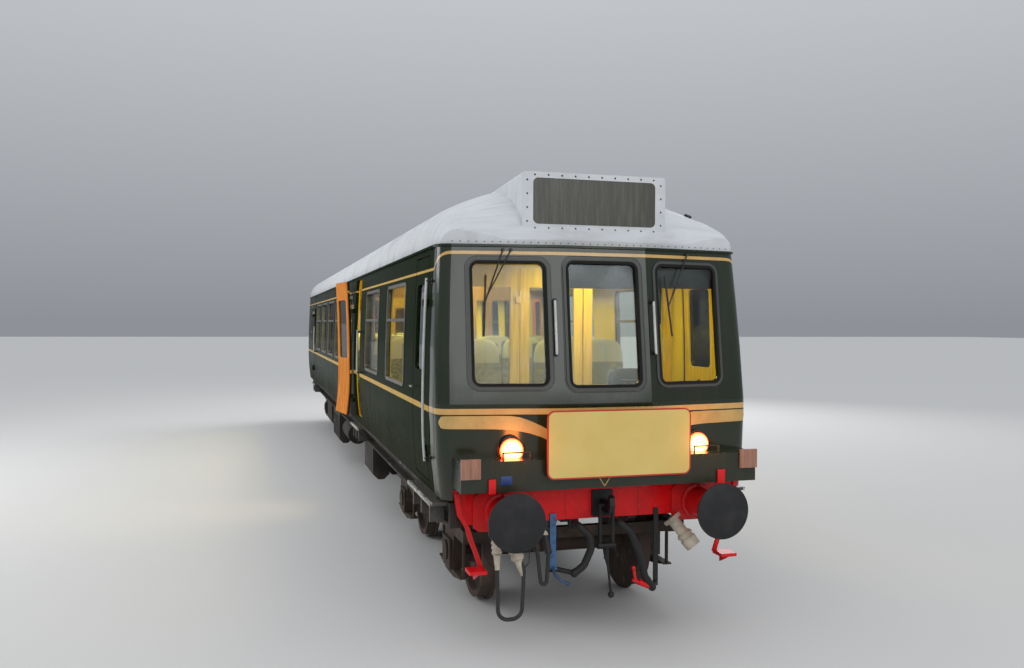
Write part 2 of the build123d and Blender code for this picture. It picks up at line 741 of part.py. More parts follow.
with BuildPart() as rear_end:
    with BuildSketch(cross(END_V)):
        add(side_profile(1, WALL, min(SILL_HALF, CANT_HALF) - 1, SILL_Z, CANT_Z))
    extrude(amount=-END_WALL)
    mirror(about=Plane.YZ)
    box(-END_CENTRE, END_CENTRE, END_V, BODY_LENGTH, SILL_Z, CANT_Z)
    with BuildSketch(cross(END_V)):
        add(roof_profile(CANT_HALF - WALL, ROOF_RISE - WALL, CANT_Z))
    extrude(amount=-END_WALL)
    box(-GANGWAY_HALF, GANGWAY_HALF, END_V, BODY_LENGTH, FLOOR_Z, GANGWAY_TOP, mode=Mode.SUBTRACT)
    wall_knuckles(GANGWAY_HALF, END_V, 1)
save(rear_end, "rear_end")

BELLOWS_HALF = 480
BELLOWS_Z = (1190, 3330)
PLEATS = 6
PLEAT = 45
PLEAT_DEEP = 35
FACE_PLATE = 30
PASSAGE_HALF = 390
PASSAGE_TOP = 3240
GANGWAY_REACH = PLEATS * PLEAT + FACE_PLATE

with BuildPart() as gangway:
    low, high = BELLOWS_Z
    for k in range(PLEATS):
        v = BODY_LENGTH + k * PLEAT
        fold = BELLOWS_HALF - PLEAT_DEEP
        box(-BELLOWS_HALF, BELLOWS_HALF, v, v + PLEAT / 2, low, high)
        box(-fold, fold, v + PLEAT / 2, v + PLEAT, low + PLEAT_DEEP, high - PLEAT_DEEP)
    face_v = BODY_LENGTH + PLEATS * PLEAT
    face_half = BELLOWS_HALF + 20
    box(-face_half, face_half, face_v, face_v + FACE_PLATE, low - 10, high + 20)
    passage_end = BODY_LENGTH + GANGWAY_REACH
    box(-PASSAGE_HALF, PASSAGE_HALF, BODY_LENGTH, passage_end, FLOOR_Z, PASSAGE_TOP, mode=Mode.SUBTRACT)
save(gangway, "gangway")

# Underframe: deck plate, channel solebars, cross-bearers and centre longitudinals

SOLEBAR_X = (1180, 1280)
SOLEBAR_LIP = 25
SOLEBAR_WEB = 20
LONGITUDINAL_X = (260, 340)
DECK_CORNER = 400
DECK_FRONT_HALF = 1150
REAR_BEAM = 50
BEARER_HALF = 40
BEARER_Z = 1000
BOLSTER_HALF = 220
UNDER_START = BOGIES[0] + BOGIE_HALF
UNDER_BAY = (BOGIES[1] - BOGIE_HALF - UNDER_START) / 5
CROSS_BEARERS = [1150, BODY_LENGTH - 1230] + [UNDER_START + UNDER_BAY * k for k in range(6)]


def plan_plate(front_v, front_half, corner_v, back_v, side, z0, z1):
    """Flat plate in plan that narrows towards the front."""
    with BuildSketch(Plane.XY.offset(z0)) as plate:
        with BuildLine():
            right = [(front_half, at(front_v)), (side, at(corner_v)), (side, at(back_v))]
            Polyline(*right, *[(-x, y) for x, y in reversed(right)], close=True)
        make_face()
    extrude(to_extrude=plate.sketch, amount=z1 - z0)


with BuildPart() as underframe:
    plan_plate(BEAM_BACK, DECK_FRONT_HALF, DECK_CORNER, BODY_LENGTH, SILL_HALF, DECK_Z, SILL_Z)
    for sign in SIDES.values():
        for inner, outer in (SOLEBAR_X, LONGITUDINAL_X):
            box(sign * inner, sign * outer, BEAM_BACK, BODY_LENGTH - REAR_BEAM, SOLEBAR_Z, DECK_Z)
        channel = (sign * (SOLEBAR_X[0] + SOLEBAR_WEB), sign * SOLEBAR_X[1])
        levels = (SOLEBAR_Z + SOLEBAR_LIP, DECK_Z - SOLEBAR_LIP)
        box(*channel, BEAM_BACK + WALL, BODY_LENGTH - REAR_BEAM - WALL, *levels, mode=Mode.SUBTRACT)
    for v in CROSS_BEARERS:
        box(-SOLEBAR_X[0], SOLEBAR_X[0], v - BEARER_HALF, v + BEARER_HALF, BEARER_Z, DECK_Z)
    for v in BOGIES:
        box(-SOLEBAR_X[0], SOLEBAR_X[0], v - BOLSTER_HALF, v + BOLSTER_HALF, SOLEBAR_Z, DECK_Z)
save(underframe, "underframe")

with BuildPart() as floor:
    plan_plate(200, 1080, CAB_BACK, END_V, min(SILL_HALF, WAIST_HALF) - WALL, SILL_Z, FLOOR_Z)
save(floor, "floor")

# End beams, buffers, drawhooks with screw couplings

BEAM_LOW = 985
REAR_BEAM_Z = (940, DECK_Z)
REAR_BEAM_HALF = 1240
LEDGE = 25
LEDGE_INSET = 30
# x and z down one end of the front beam
BEAM_END = ((NOTCH_HALF, NOTCH_Z), (1224, 1049), (1150, BEAM_LOW))

with BuildPart() as front_beam:
    with BuildSketch(cross(BEAM_BACK)):
        with BuildLine():
            Polyline(*BEAM_END, *[(-x, z) for x, z in reversed(BEAM_END)], close=True)
        make_face()
    extrude(amount=BEAM_BACK - BEAM_FACE)
    with BuildSketch(Plane.XY.offset(NOTCH_Z - LEDGE)):
        add(cab_outline(NOTCH_Z, LEDGE_INSET, CAB_BACK))
        with Locations((0, at(0))):
            Rectangle(2 * NOTCH_HALF, 2 * BEAM_BACK, mode=Mode.INTERSECT)
    extrude(amount=LEDGE)
save(front_beam, "front_beam")

with BuildPart() as rear_beam:
    box(-REAR_BEAM_HALF, REAR_BEAM_HALF, BODY_LENGTH - REAR_BEAM, BODY_LENGTH, *REAR_BEAM_Z)
save(rear_beam, "rear_beam")

# face of each end's beam, direction of its buffers along the coach, their reach, drawhook height
ENDS = {
    "front": (BEAM_FACE, -1, BEAM_FACE + BUFFER_REACH, 1110),
    "rear": (BODY_LENGTH, 1, REAR_BUFFER_REACH, 1040),
}
BUFFER_PLATE = (476, 312, 70)
PLATE = 20
RIB = 12


def buffer_form(reach):
    """Buffer outline as radius and height: flange, taper, collar, ram and domed head."""
    return (
        (0, PLATE),
        (150, PLATE),
        (150, PLATE + 16),
        (126, PLATE + 20),
        (104, 225),
        (120, 228),
        (120, 256),
        (70, 258),
        (70, reach - 50),
        (112, reach - 44),
        (HEAD_R, reach - 28),
        (HEAD_R, reach - 16),
        (170, reach - 7),
        (110, reach - 2),
        (60, reach),
        (0, reach),
    )


for name, (face, way, reach, hook_z) in ENDS.items():
    with BuildPart() as buffers:
        for sign in SIDES.values():
            x = sign * BUFFER_X
            with BuildSketch(cross(face)) as plate:
                with Locations((x, BUFFER_Z)):
                    RectangleRounded(*BUFFER_PLATE)
            extrude(to_extrude=plate.sketch, amount=-way * PLATE)
            spot = (x, at(face), BUFFER_Z)
            turned(Plane(origin=spot, x_dir=(1, 0, 0), z_dir=(0, 0, way)), buffer_form(reach))
            with BuildSketch(along(x - RIB / 2)) as rib:
                with BuildLine():
                    front, back = at(face + way * 180), at(face + way * PLATE)
                    spots = [(back, BUFFER_Z + 150), (front, BUFFER_Z + 100)]
                    mirrored = [(y, 2 * BUFFER_Z - z) for y, z in reversed(spots)]
                    Polyline(*spots, *mirrored, close=True)
                make_face()
            extrude(to_extrude=rib.sketch, amount=RIB)
    save(buffers, f"buffers_{name}")

HOOK_PAD = (184, 230, 24)
HOOK_HALF = 22
# distance ahead of the beam and height above the coupler's centre, round the drawhook
HOOK_FORM = (
    (0, 36),
    (140, 30),
    (165, 4),
    (190, 22),
    (180, 62),
    (204, 98),
    (236, 78),
    (248, 14),
    (216, -46),
    (150, -62),
    (0, -36),
)
LINK_X = 56
LINK_R = 16
LINK_AHEAD = 110
TRUNNION = (775, 78, 26)
SCREW = (20, 665)
LEVER = ((4, 700), (44, 365))
LEVER_R = 10
BALL_R = 27

for name, (face, way, reach, hook_z) in ENDS.items():
    link_v = face + way * LINK_AHEAD
    with BuildPart() as coupling:
        with BuildSketch(cross(face)):
            with Locations((0, hook_z)):
                RectangleRounded(*HOOK_PAD)
        extrude(amount=-way * PLATE)
        with BuildSketch(along(-HOOK_HALF)) as hook:
            with BuildLine():
                Polyline(*[(at(face + way * d), hook_z + z) for d, z in HOOK_FORM], close=True)
            make_face()
        extrude(to_extrude=hook.sketch, amount=2 * HOOK_HALF)
        drop, trunnion_x, trunnion_r = TRUNNION
        rod((-LINK_X - LINK_R, link_v, hook_z), (LINK_X + LINK_R, link_v, hook_z), LINK_R + 4)
        for x in (-LINK_X, LINK_X):
            rod((x, link_v, drop), (x, link_v, hook_z), LINK_R)
        rod((-trunnion_x, link_v, drop), (trunnion_x, link_v, drop), trunnion_r)
        rod((0, link_v, SCREW[1]), (0, link_v, drop), SCREW[0])
        rod(*[(x, link_v, z) for x, z in LEVER], LEVER_R)
        with Locations((LEVER[1][0], at(link_v), LEVER[1][1])):
            Sphere(BALL_R)
    save(coupling, f"coupling_{name}")

# Brake hoses hooked to holders on the front beam, and looped jumper cables in their sockets

HOSE_R = 31
HOLDER_R = 20
CABLE_R = 16
SOCKET_R = 29

# Further points of each hose below its fitting
LEFT_HOSE = ((-232, 40, 945), (-140, 22, 860), (-129, 20, 752), (-191, 24, 617), (-270, 34, 558))
RIGHT_HOSE = ((125, 35, 955), (218, 16, 877), (299, 16, 688), (353, 24, 490), (425, 36, 392))
# x of the fitting, points, x range of the holder that the hose hooks into, foot of the holder
HOSES = ((-242, LEFT_HOSE, (-457, -405), 560), (111, RIGHT_HOSE, (470, 510), 380))
FITTING = 40

with BuildPart() as brake_hoses:
    for x, points, holder, foot in HOSES:
        fitting_v = (BEAM_FACE + BEAM_BACK) / 2
        box(x - FITTING, x + FITTING, fitting_v - 25, fitting_v + 25, BEAM_LOW - 2 * FITTING, BEAM_LOW)
        pipe([(x, fitting_v, BEAM_LOW - FITTING), *points], [40, 60, 90, 70], HOSE_R)
        box(*holder, BEAM_FACE - 16, BEAM_FACE, foot, BEAM_LOW + 55)
        end_x, end_v, end_z = points[-1]
        rod((sum(holder) / 2, BEAM_FACE - 10, foot + 30), (end_x, end_v + 4, end_z), HOLDER_R)
        with Locations((end_x, at(end_v), end_z)):
            Sphere(HOSE_R + 4)
save(brake_hoses, "brake_hoses")

HANGER_V = (BEAM_FACE + 6, BEAM_BACK - 6)
HANGER_Z = (870, BEAM_LOW)
HANGERS = ((-965, -740), (-615, -465), (690, 760))
# x at the hanger, then x, v and z of the socket's mouth
SOCKETS = (
    (-925, -932, 40, 800),
    (-780, -762, 40, 750),
    (-585, -583, 60, 760),
    (-495, -484, 60, 730),
    (725, 735, 30, 737),
)
WIDE_LOOP = (
    (-932, 40, 810),
    (-938, -20, 640),
    (-930, -20, 243),
    (-735, -20, 243),
    (-717, -20, 640),
    (-762, 40, 760),
)
NARROW_LOOP = ((-583, 60, 770), (-522, 50, 225), (-484, 60, 740))

with BuildPart() as jumper_cables:
    for x0, x1 in HANGERS:
        box(x0, x1, *HANGER_V, *HANGER_Z)
    for x, foot_x, foot_v, foot_z in SOCKETS:
        rod((x, 150, 897), (foot_x, foot_v, foot_z), SOCKET_R)
    pipe(WIDE_LOOP, [60, 85, 85, 60], CABLE_R)
    pipe(NARROW_LOOP, [26], CABLE_R)
save(jumper_cables, "jumper_cables")

# Steps below the front corners and boards below the doors

# x and z down the outer edge of a step bar
STEP_BAR = ((1262, 1240), (1236, 1070), (1172, 962), (1147, 872), (1099, 748), (1062, 640))
STEP_WIDE = 40
STEP_THICK = 16
TREAD_X = (1028, 1170)
TREAD_V = (-50, 110)
TREAD_Z = (622, 650)
GUSSET_Z = 545
BOARD_X = 1430
BOARD_Z = (1120, 1149)
BOARD_BRACKET = 30
# start and end of each footboard
FOOTBOARDS = [(260, 1360)] + [(v - 80, v + PASSENGER_DOOR_WIDTH + 80) for v in PASSENGER_DOORS]

with BuildPart() as footsteps:
    for sign in SIDES.values():
        with BuildSketch(cross(BEAM_FACE)) as bar:
            with BuildLine():
                outer = [(sign * x, z) for x, z in STEP_BAR]
                inner = [(sign * (x - STEP_WIDE), z) for x, z in reversed(STEP_BAR)]
                Polyline(*outer, *inner, close=True)
            make_face()
        extrude(to_extrude=bar.sketch, amount=STEP_THICK)
        box(sign * TREAD_X[0], sign * TREAD_X[1], *TREAD_V, *TREAD_Z)
        gusset_x = sign * sum(TREAD_X) / 2
        with BuildSketch(along(gusset_x - RIB / 2)) as gusset:
            with BuildLine():
                high, low = TREAD_Z[0] + 1, GUSSET_Z
                Polyline((at(TREAD_V[0]), high), (at(TREAD_V[1]), high), (at(TREAD_V[1]), low), close=True)
            make_face()
        extrude(to_extrude=gusset.sketch, amount=RIB)
        for v0, v1 in FOOTBOARDS:
            box(sign * SOLEBAR_X[1], sign * BOARD_X, v0, v1, *BOARD_Z)
            arm = (sign * SOLEBAR_X[1], sign * (BOARD_X - BOARD_BRACKET))
            for share in (0.15, 0.5, 0.85):
                v = v0 + share * (v1 - v0)
                ends = (v - BOARD_BRACKET / 2, v + BOARD_BRACKET / 2)
                box(*arm, *ends, SOLEBAR_Z + 10, BOARD_Z[0])
save(footsteps, "footsteps")

# Underfloor engines, radiators, boxes, tanks and exhausts, placed by bays between the bogies

ENGINE_X = 480
ENGINE_HALF = 480
ENGINE_LOW = 430
ENGINE_LENGTH = 2280
CHAMFER = 70
HEAD_COVERS = 3


def bay_middle(share):
    """v of a place counted in underfloor bays behind the front bogie."""
    return UNDER_START + share * UNDER_BAY


def hung_box(x0, x1, v, length, low):
    """Box below the frame between x0 and x1 with its lower edges cut off."""
    x0, x1 = sorted((x0, x1))
    cut = min(CHAMFER, (SOLEBAR_Z - low) / 4)
    with BuildSketch(cross(v - length / 2)) as section:
        with BuildLine():
            Polyline(
                (x0, SOLEBAR_Z), (x0, low + cut), (x0 + cut, low), (x1 - cut, low), (x1, low + cut),
                (x1, SOLEBAR_Z), close=True,
            )
        make_face()
    extrude(to_extrude=section.sketch, amount=-length)


# side, bays behind the front bogie
ENGINES = ((-1, 1.5), (1, 3.5))
with BuildPart() as engines:
    for sign, bays in ENGINES:
        v = bay_middle(bays)
        outer = sign * (ENGINE_X + ENGINE_HALF)
        hung_box(sign * (ENGINE_X - ENGINE_HALF), outer, v, ENGINE_LENGTH, ENGINE_LOW)
        for k in range(HEAD_COVERS):
            cover = v + (k - 1) * ENGINE_LENGTH / 4
            box(outer, outer + sign * 60, cover - 200, cover + 200, 560, 820)
save(engines, "engines")

HUNG_X = (1060, SOLEBAR_X[1])
RADIATOR_LENGTH = 1250
RADIATOR_LOW = 390
SLAT = 42
SLAT_OPEN = 22
SLAT_DEEP = 25
with BuildPart() as radiators:
    for sign, bays in ENGINES:
        v = bay_middle(bays)
        hung_box(-sign * HUNG_X[0], -sign * HUNG_X[1], v, RADIATOR_LENGTH, RADIATOR_LOW)
        edge = RADIATOR_LENGTH / 2 - CHAMFER
        for k in range(9):
            z = RADIATOR_LOW + 1.6 * CHAMFER + k * SLAT
            face = -sign * HUNG_X[1]
            box(face, face + sign * SLAT_DEEP, v - edge, v + edge, z, z + SLAT_OPEN, mode=Mode.SUBTRACT)
save(radiators, "radiators")

# side, bays behind the front bogie, length, depth
BOXES = (
    (-1, 0.55, 900, 420),
    (1, 0.55, 900, 420),
    (1, 2.5, 1300, 460),
    (1, 4.45, 1000, 420),
    (-1, 4.45, 1000, 420),
)
TANK_R = 165
TANK_LENGTH = 1000
TANK_Z = 740
with BuildPart() as equipment_boxes:
    for sign, bays, length, depth in BOXES:
        hung_box(sign * HUNG_X[0], sign * HUNG_X[1], bay_middle(bays), length, SOLEBAR_Z - depth)
    v, x = bay_middle(2.5), -(SOLEBAR_X[1] - TANK_R)
    rod((x, v - TANK_LENGTH / 2, TANK_Z), (x, v + TANK_LENGTH / 2, TANK_Z), TANK_R)
    for strap in (v - TANK_LENGTH / 3, v + TANK_LENGTH / 3):
        box(x - TANK_R / 2, x + TANK_R, strap - RIB, strap + RIB, TANK_Z, SOLEBAR_Z)
save(equipment_boxes, "equipment_boxes")

PIPE_X = 560
PIPE_R = 55
PIPE_OFF = 120
PIPE_Z = 880
PIPE_TOP = ROOF_TOP - 60
SILENCER = (BODY_LENGTH - 580, BODY_LENGTH - 280)
CLIP_LEVELS = (1500, 2400, 3100)
with BuildPart() as exhausts:
    for sign in SIDES.values():
        x, riser = sign * PIPE_X, BODY_LENGTH + PIPE_OFF
        pipe([(x, SILENCER[1], PIPE_Z), (x, riser, PIPE_Z), (x, riser, PIPE_TOP)], [PIPE_OFF], PIPE_R)
        box(sign * 300, sign * 690, *SILENCER, PIPE_Z - 70, SOLEBAR_Z)
        for z in CLIP_LEVELS:
            box(x - 30, x + 30, BODY_LENGTH, riser, z, z + 40)
save(exhausts, "exhausts")

# Inside: lavatory wall, seats, racks, cab desk and driver's seat

LAVATORY_X = 400
LAVATORY_TOP = 3240
with BuildPart() as lavatory:
    box(LAVATORY_X, LAVATORY_X + PARTITION, REAR_VESTIBULE[1] + PARTITION, END_V, FLOOR_Z, LAVATORY_TOP)
save(lavatory, "lavatory")

SEAT_OUT = PARTITION_HALF - 14
FIRST_BACKS = (2750, 4060, 5370)
FIRST_SEAT = (620, 1180)
SECOND_SEAT = (580, 1120)


def bench(x0, x1, v, facing, depth, height):
    """Bench seat whose back stands at v; facing -1 looks to the cab."""
    z = FLOOR_Z
    back, tread = v, v + facing * depth
    points = (
        (back, z),
        (tread - facing * 80, z),
        (tread - facing * 60, z + 250),
        (tread, z + 270),
        (tread, z + 440),
        (back + facing * 150, z + 410),
        (back + facing * 90, z + height - 40),
        (back + facing * 60, z + height),
        (back, z + height),
    )
    with BuildSketch(along(x0)) as profile:
        with BuildLine():
            Polyline(*[(at(p), q) for p, q in points], close=True)
        make_face()
    extrude(to_extrude=profile.sketch, amount=x1 - x0)


with BuildPart() as seats_first:
    for v in FIRST_BACKS:
        bench(-SEAT_OUT, -190, v, -1, *FIRST_SEAT)
        bench(190, SEAT_OUT, v, -1, *FIRST_SEAT)
save(seats_first, "seats_first")

SEAT_CLEAR = 12
with BuildPart() as seats_second:
    for k in range(BAYS):
        start = FRONT_VESTIBULE[1] + PARTITION + SEAT_CLEAR + BAY * k
        for v, facing in ((start, 1), (start + BAY - SEAT_CLEAR, -1)):
            bench(-SEAT_OUT, 20, v, facing, *SECOND_SEAT)
            bench(410, SEAT_OUT, v, facing, *SECOND_SEAT)
save(seats_second, "seats_second")

RACK_X = 1000
RACK_Z = (3060, 3080)
FIRST_SALOON = (CAB_LENGTH + PARTITION, FRONT_VESTIBULE[0])
SECOND_SALOON = (FRONT_VESTIBULE[1] + PARTITION, REAR_VESTIBULE[0])
with BuildPart() as luggage_racks:
    for sign in SIDES.values():
        for v0, v1 in (FIRST_SALOON, SECOND_SALOON):
            box(sign * RACK_X, sign * PARTITION_HALF, v0, v1, *RACK_Z)
            rod((sign * RACK_X, v0, RACK_Z[1]), (sign * RACK_X, v1, RACK_Z[1]), RAIL_R)
save(luggage_racks, "luggage_racks")

# Desk sections as distance v and height: the driver's side and the second person's
DRIVER_DESK = (
    (215, FLOOR_Z),
    (215, 1985),
    (300, 2015),
    (560, 1930),
    (560, 1860),
    (470, 1820),
    (470, FLOOR_Z),
)
SECOND_DESK = ((215, FLOOR_Z), (215, 1900), (450, 1880), (450, 1800), (400, FLOOR_Z))
DESKS = ((220, 1050, DRIVER_DESK), (-1050, -220, SECOND_DESK))
with BuildPart() as cab_desk:
    for x0, x1, section in DESKS:
        with BuildSketch(along(x0)) as profile:
            with BuildLine():
                Polyline(*[(at(v), z) for v, z in section], close=True)
            make_face()
        extrude(to_extrude=profile.sketch, amount=x1 - x0)
save(cab_desk, "cab_desk")

DRIVER_X = (470, 930)
DRIVER_V = (780, 1220)
with BuildPart() as driver_seat:
    middle = (sum(DRIVER_X) / 2, sum(DRIVER_V) / 2)
    rod((*middle, FLOOR_Z), (*middle, FLOOR_Z + 400), 60)
    rod((*middle, FLOOR_Z), (*middle, FLOOR_Z + 25), 190)
    box(*DRIVER_X, *DRIVER_V, FLOOR_Z + 400, FLOOR_Z + 490)
    with BuildSketch(along(DRIVER_X[0])) as back_form:
        with BuildLine():
            back = DRIVER_V[1]
            spots = ((back - 70, 480), (back - 40, 900), (back + 10, 940), (back + 20, 900), (back, 480))
            Polyline(*[(at(v), FLOOR_Z + z) for v, z in spots], close=True)
        make_face()
    extrude(to_extrude=back_form.sketch, amount=DRIVER_X[1] - DRIVER_X[0])
save(driver_seat, "driver_seat")

# Bogies: shaped side frames with horns, axleboxes on leaf springs, transoms, bolster and brakes

FRAME_X = (930, 1030)
BOX_X = (900, 1060)
BOX_HALF = 150
BOX_Z = (330, 600)
COVER_R = 92
BRAKE_X = (722, 812)
BRAKE_V = TREAD_R + 6
BLOCK = (50, 115)
BRAKE_BAR = (TREAD_R + 32, 690, 20)
LEAVES = 4
LEAF = 15
SPRING_HALF = 460
# distance from the bogie's centre and height, along one half of a side frame
FRAME_FORM = ((1880, 660), (1880, 770), (1480, 800), (620, 800), (420, 760), (0, 760))
FRAME_FOOT = ((0, 600), (700, 600), (900, 650), (1095, 660), (1130, 420), (1460, 420), (1495, 660))

for place, v in zip(("front", "rear"), BOGIES):
    with BuildPart() as bogie:
        for sign in SIDES.values():
            with BuildSketch(along(sign * FRAME_X[0])) as frame:
                with BuildLine():
                    near = [(at(v + d), z) for d, z in reversed(FRAME_FORM)]
                    near += [(at(v + d), z) for d, z in reversed(FRAME_FOOT)]
                    far = [(2 * at(v) - y, z) for y, z in reversed(near[1:-1])]
                    Polyline(*near, *far, close=True)
                make_face()
            extrude(to_extrude=frame.sketch, amount=sign * (FRAME_X[1] - FRAME_X[0]))
            for axle in (v - WHEELBASE / 2, v + WHEELBASE / 2):
                box(sign * BOX_X[0], sign * BOX_X[1], axle - BOX_HALF, axle + BOX_HALF, *BOX_Z)
                rod((sign * BOX_X[1], axle, FLANGE_R), (sign * (BOX_X[1] + 18), axle, FLANGE_R), COVER_R)
                for k in range(LEAVES):
                    z = BOX_Z[0] - k * LEAF
                    reach = SPRING_HALF - 90 * k
                    box(sign * 950, sign * 1030, axle - reach, axle + reach, z - LEAF, z)
                for end in (-1, 1):
                    hanger = axle + end * (SPRING_HALF - 25)
                    rod((sign * 990, hanger, BOX_Z[0] - LEAF), (sign * 990, hanger, 700), 16)
                bore = JOURNAL_R + SEAT_GAP
                bore_ends = (sign * (BOX_X[0] - 50), sign * (JOURNAL_END + 11))
                rod((bore_ends[0], axle, FLANGE_R), (bore_ends[1], axle, FLANGE_R), bore, Mode.SUBTRACT)
                # Brake block on the inner side of the wheel, its hanger and cross bar
                inward = -1 if axle > v else 1
                block = axle + inward * BRAKE_V
                box(sign * BRAKE_X[0], sign * BRAKE_X[1], block, block + inward * BLOCK[0],
                    FLANGE_R - BLOCK[1], FLANGE_R + BLOCK[1])
                bar_v = axle + inward * BRAKE_BAR[0]
                box(sign * 755, sign * 779, bar_v - 12, bar_v + 12, FLANGE_R, BRAKE_BAR[1])
        for axle, inward in ((v - WHEELBASE / 2, 1), (v + WHEELBASE / 2, -1)):
            bar_v = axle + inward * BRAKE_BAR[0]
            rod((-FRAME_X[1], bar_v, BRAKE_BAR[1]), (FRAME_X[1], bar_v, BRAKE_BAR[1]), BRAKE_BAR[2])
        for end in (-1, 1):
            box(-FRAME_X[0], FRAME_X[0], v + end * 210, v + end * 300, 620, 750)
            box(-FRAME_X[0], FRAME_X[0], v + end * 1805, v + end * 1880, 665, 765)
        # Bolster on its springs, with side bearers and the centre pivot
        box(-1040, 1040, v - 150, v + 150, 850, 935)
        for x in (-980, 980):
            for spring in (-85, 85):
                rod((x, v + spring, 760), (x, v + spring, 850), 58)
        for x0, x1 in ((-860, -700), (700, 860)):
            box(x0, x1, v - 90, v + 90, 935, SOLEBAR_Z - SEAT_GAP)
        rod((0, v, 935), (0, v, SOLEBAR_Z - SEAT_GAP), 200)
    save(bogie, f"bogie_{place}")

    for number, axle in enumerate((v - WHEELBASE / 2, v + WHEELBASE / 2), 1):
        with BuildPart() as wheelset:
            rod((-JOURNAL_END, axle, FLANGE_R), (JOURNAL_END, axle, FLANGE_R), JOURNAL_R)
            rod((-WHEEL_IN - 60, axle, FLANGE_R), (WHEEL_IN + 60, axle, FLANGE_R), 85)
            for sign in SIDES.values():
                spot = Plane(origin=(0, at(axle), FLANGE_R), x_dir=(0, 0, 1), z_dir=(0, sign, 0))
                tyre = (
                    (0, WHEEL_IN),
                    (FLANGE_R - 6, WHEEL_IN),
                    (FLANGE_R, WHEEL_IN + 14),
                    (TREAD_R, WHEEL_IN + 30),
                    (TREAD_R - 5, WHEEL_OUT),
                    (TREAD_R - 65, WHEEL_OUT),
                    (TREAD_R - 85, WHEEL_IN + 80),
                    (150, WHEEL_IN + 70),
                    (130, WHEEL_OUT + 15),
                    (0, WHEEL_OUT + 15),
                )
                turned(spot, tyre)
        save(wheelset, f"wheelset_{place}_{number}")
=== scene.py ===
# Looks of a diesel railcar driving coach: paint, glass, fittings, lit saloons and running gear
from math import cos, pi, radians, sin, sqrt, tan

import bmesh
import bpy
from mathutils import Matrix, Vector


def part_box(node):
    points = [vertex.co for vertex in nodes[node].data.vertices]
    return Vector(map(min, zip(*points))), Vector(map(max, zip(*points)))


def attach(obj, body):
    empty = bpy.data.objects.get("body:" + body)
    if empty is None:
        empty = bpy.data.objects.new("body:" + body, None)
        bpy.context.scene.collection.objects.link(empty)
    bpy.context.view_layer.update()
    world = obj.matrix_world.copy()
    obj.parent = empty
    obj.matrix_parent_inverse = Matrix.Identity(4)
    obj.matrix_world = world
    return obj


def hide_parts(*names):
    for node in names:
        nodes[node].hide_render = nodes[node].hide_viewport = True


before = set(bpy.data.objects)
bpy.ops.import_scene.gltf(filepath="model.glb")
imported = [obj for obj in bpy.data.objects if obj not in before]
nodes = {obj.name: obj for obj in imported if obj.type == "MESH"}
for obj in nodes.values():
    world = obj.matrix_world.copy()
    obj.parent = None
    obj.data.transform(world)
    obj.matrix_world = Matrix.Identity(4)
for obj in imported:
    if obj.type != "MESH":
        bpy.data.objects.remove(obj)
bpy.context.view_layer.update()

# Places in metres: v runs back from the flat front panel of the cab, x to its right, z up
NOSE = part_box("cab_front")[0].y
BODY_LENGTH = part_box("roof")[1].y - NOSE
SILL_Z = 1.18
SILL_HALF = 1.345
WAIST_Z = 1.85
WAIST_HALF = 1.395
CANT_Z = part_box("roof")[0].z
CANT_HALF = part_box("roof")[1].x
ROOF_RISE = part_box("roof")[1].z - CANT_Z
FLOOR_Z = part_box("floor")[1].z
CENTRE_HALF = 0.4
FACET_ANGLE = radians(9.5)
CORNER_R = 0.125
RAKE_Z = 1.95
RAKE = 0.17
FAIRING_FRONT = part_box("corner_pads")[1].y
FAIRING_LOW = 1.29
HINGE_X = WAIST_HALF + 0.012
DOOR_CLEAR = 0.012
DOOR_STILE = 0.095
SHUT_GAP = 0.02
OPEN_ANGLE = radians(173)
GLAZED_Z = (2.0, 2.95)
GANGWAY_HALF = 0.33
SALOON_DOOR_HALF = 0.38
GLAZED_STILE = 0.09
PARTITION_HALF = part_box("partitions")[1].x
CAB_DOOR = (0.66, 1.30)
PASSENGER_DOORS = (5.62, BODY_LENGTH - 2.78)
PASSENGER_DOOR_WIDTH = 0.74
CAB_LENGTH = 1.45
PARTITIONS = (5.52, 6.46, BODY_LENGTH - 2.89, BODY_LENGTH - 1.97)
PARTITION = 0.04
BAYS = 5
BAY_START = PARTITIONS[1] + PARTITION + 0.02
BAY = (PARTITIONS[2] - 0.02 - BAY_START) / BAYS
BAY_MIDDLES = [BAY_START + BAY * (k + 0.5) for k in range(BAYS)]
SIDES = {"left": -1, "right": 1}


def at(v):
    """Y of a place v metres behind the front panel."""
    return NOSE + v


def spot_at(x, v, z):
    """Place by its x, its distance v behind the front panel and its height."""
    return Vector((x, at(v), z))


def bulge(drop, rise):
    """Radius of an arc that falls in by drop over a height of rise."""
    return (rise * rise + drop * drop) / (2 * drop)


LOWER_BULGE = bulge(WAIST_HALF - SILL_HALF, WAIST_Z - SILL_Z)
UPPER_BULGE = bulge(WAIST_HALF - CANT_HALF, CANT_Z - WAIST_Z)


def half(z):
    """Half width of the body side at height z."""
    radius = LOWER_BULGE if z < WAIST_Z else UPPER_BULGE
    return WAIST_HALF - radius + sqrt(max(0, radius**2 - (z - WAIST_Z) ** 2))


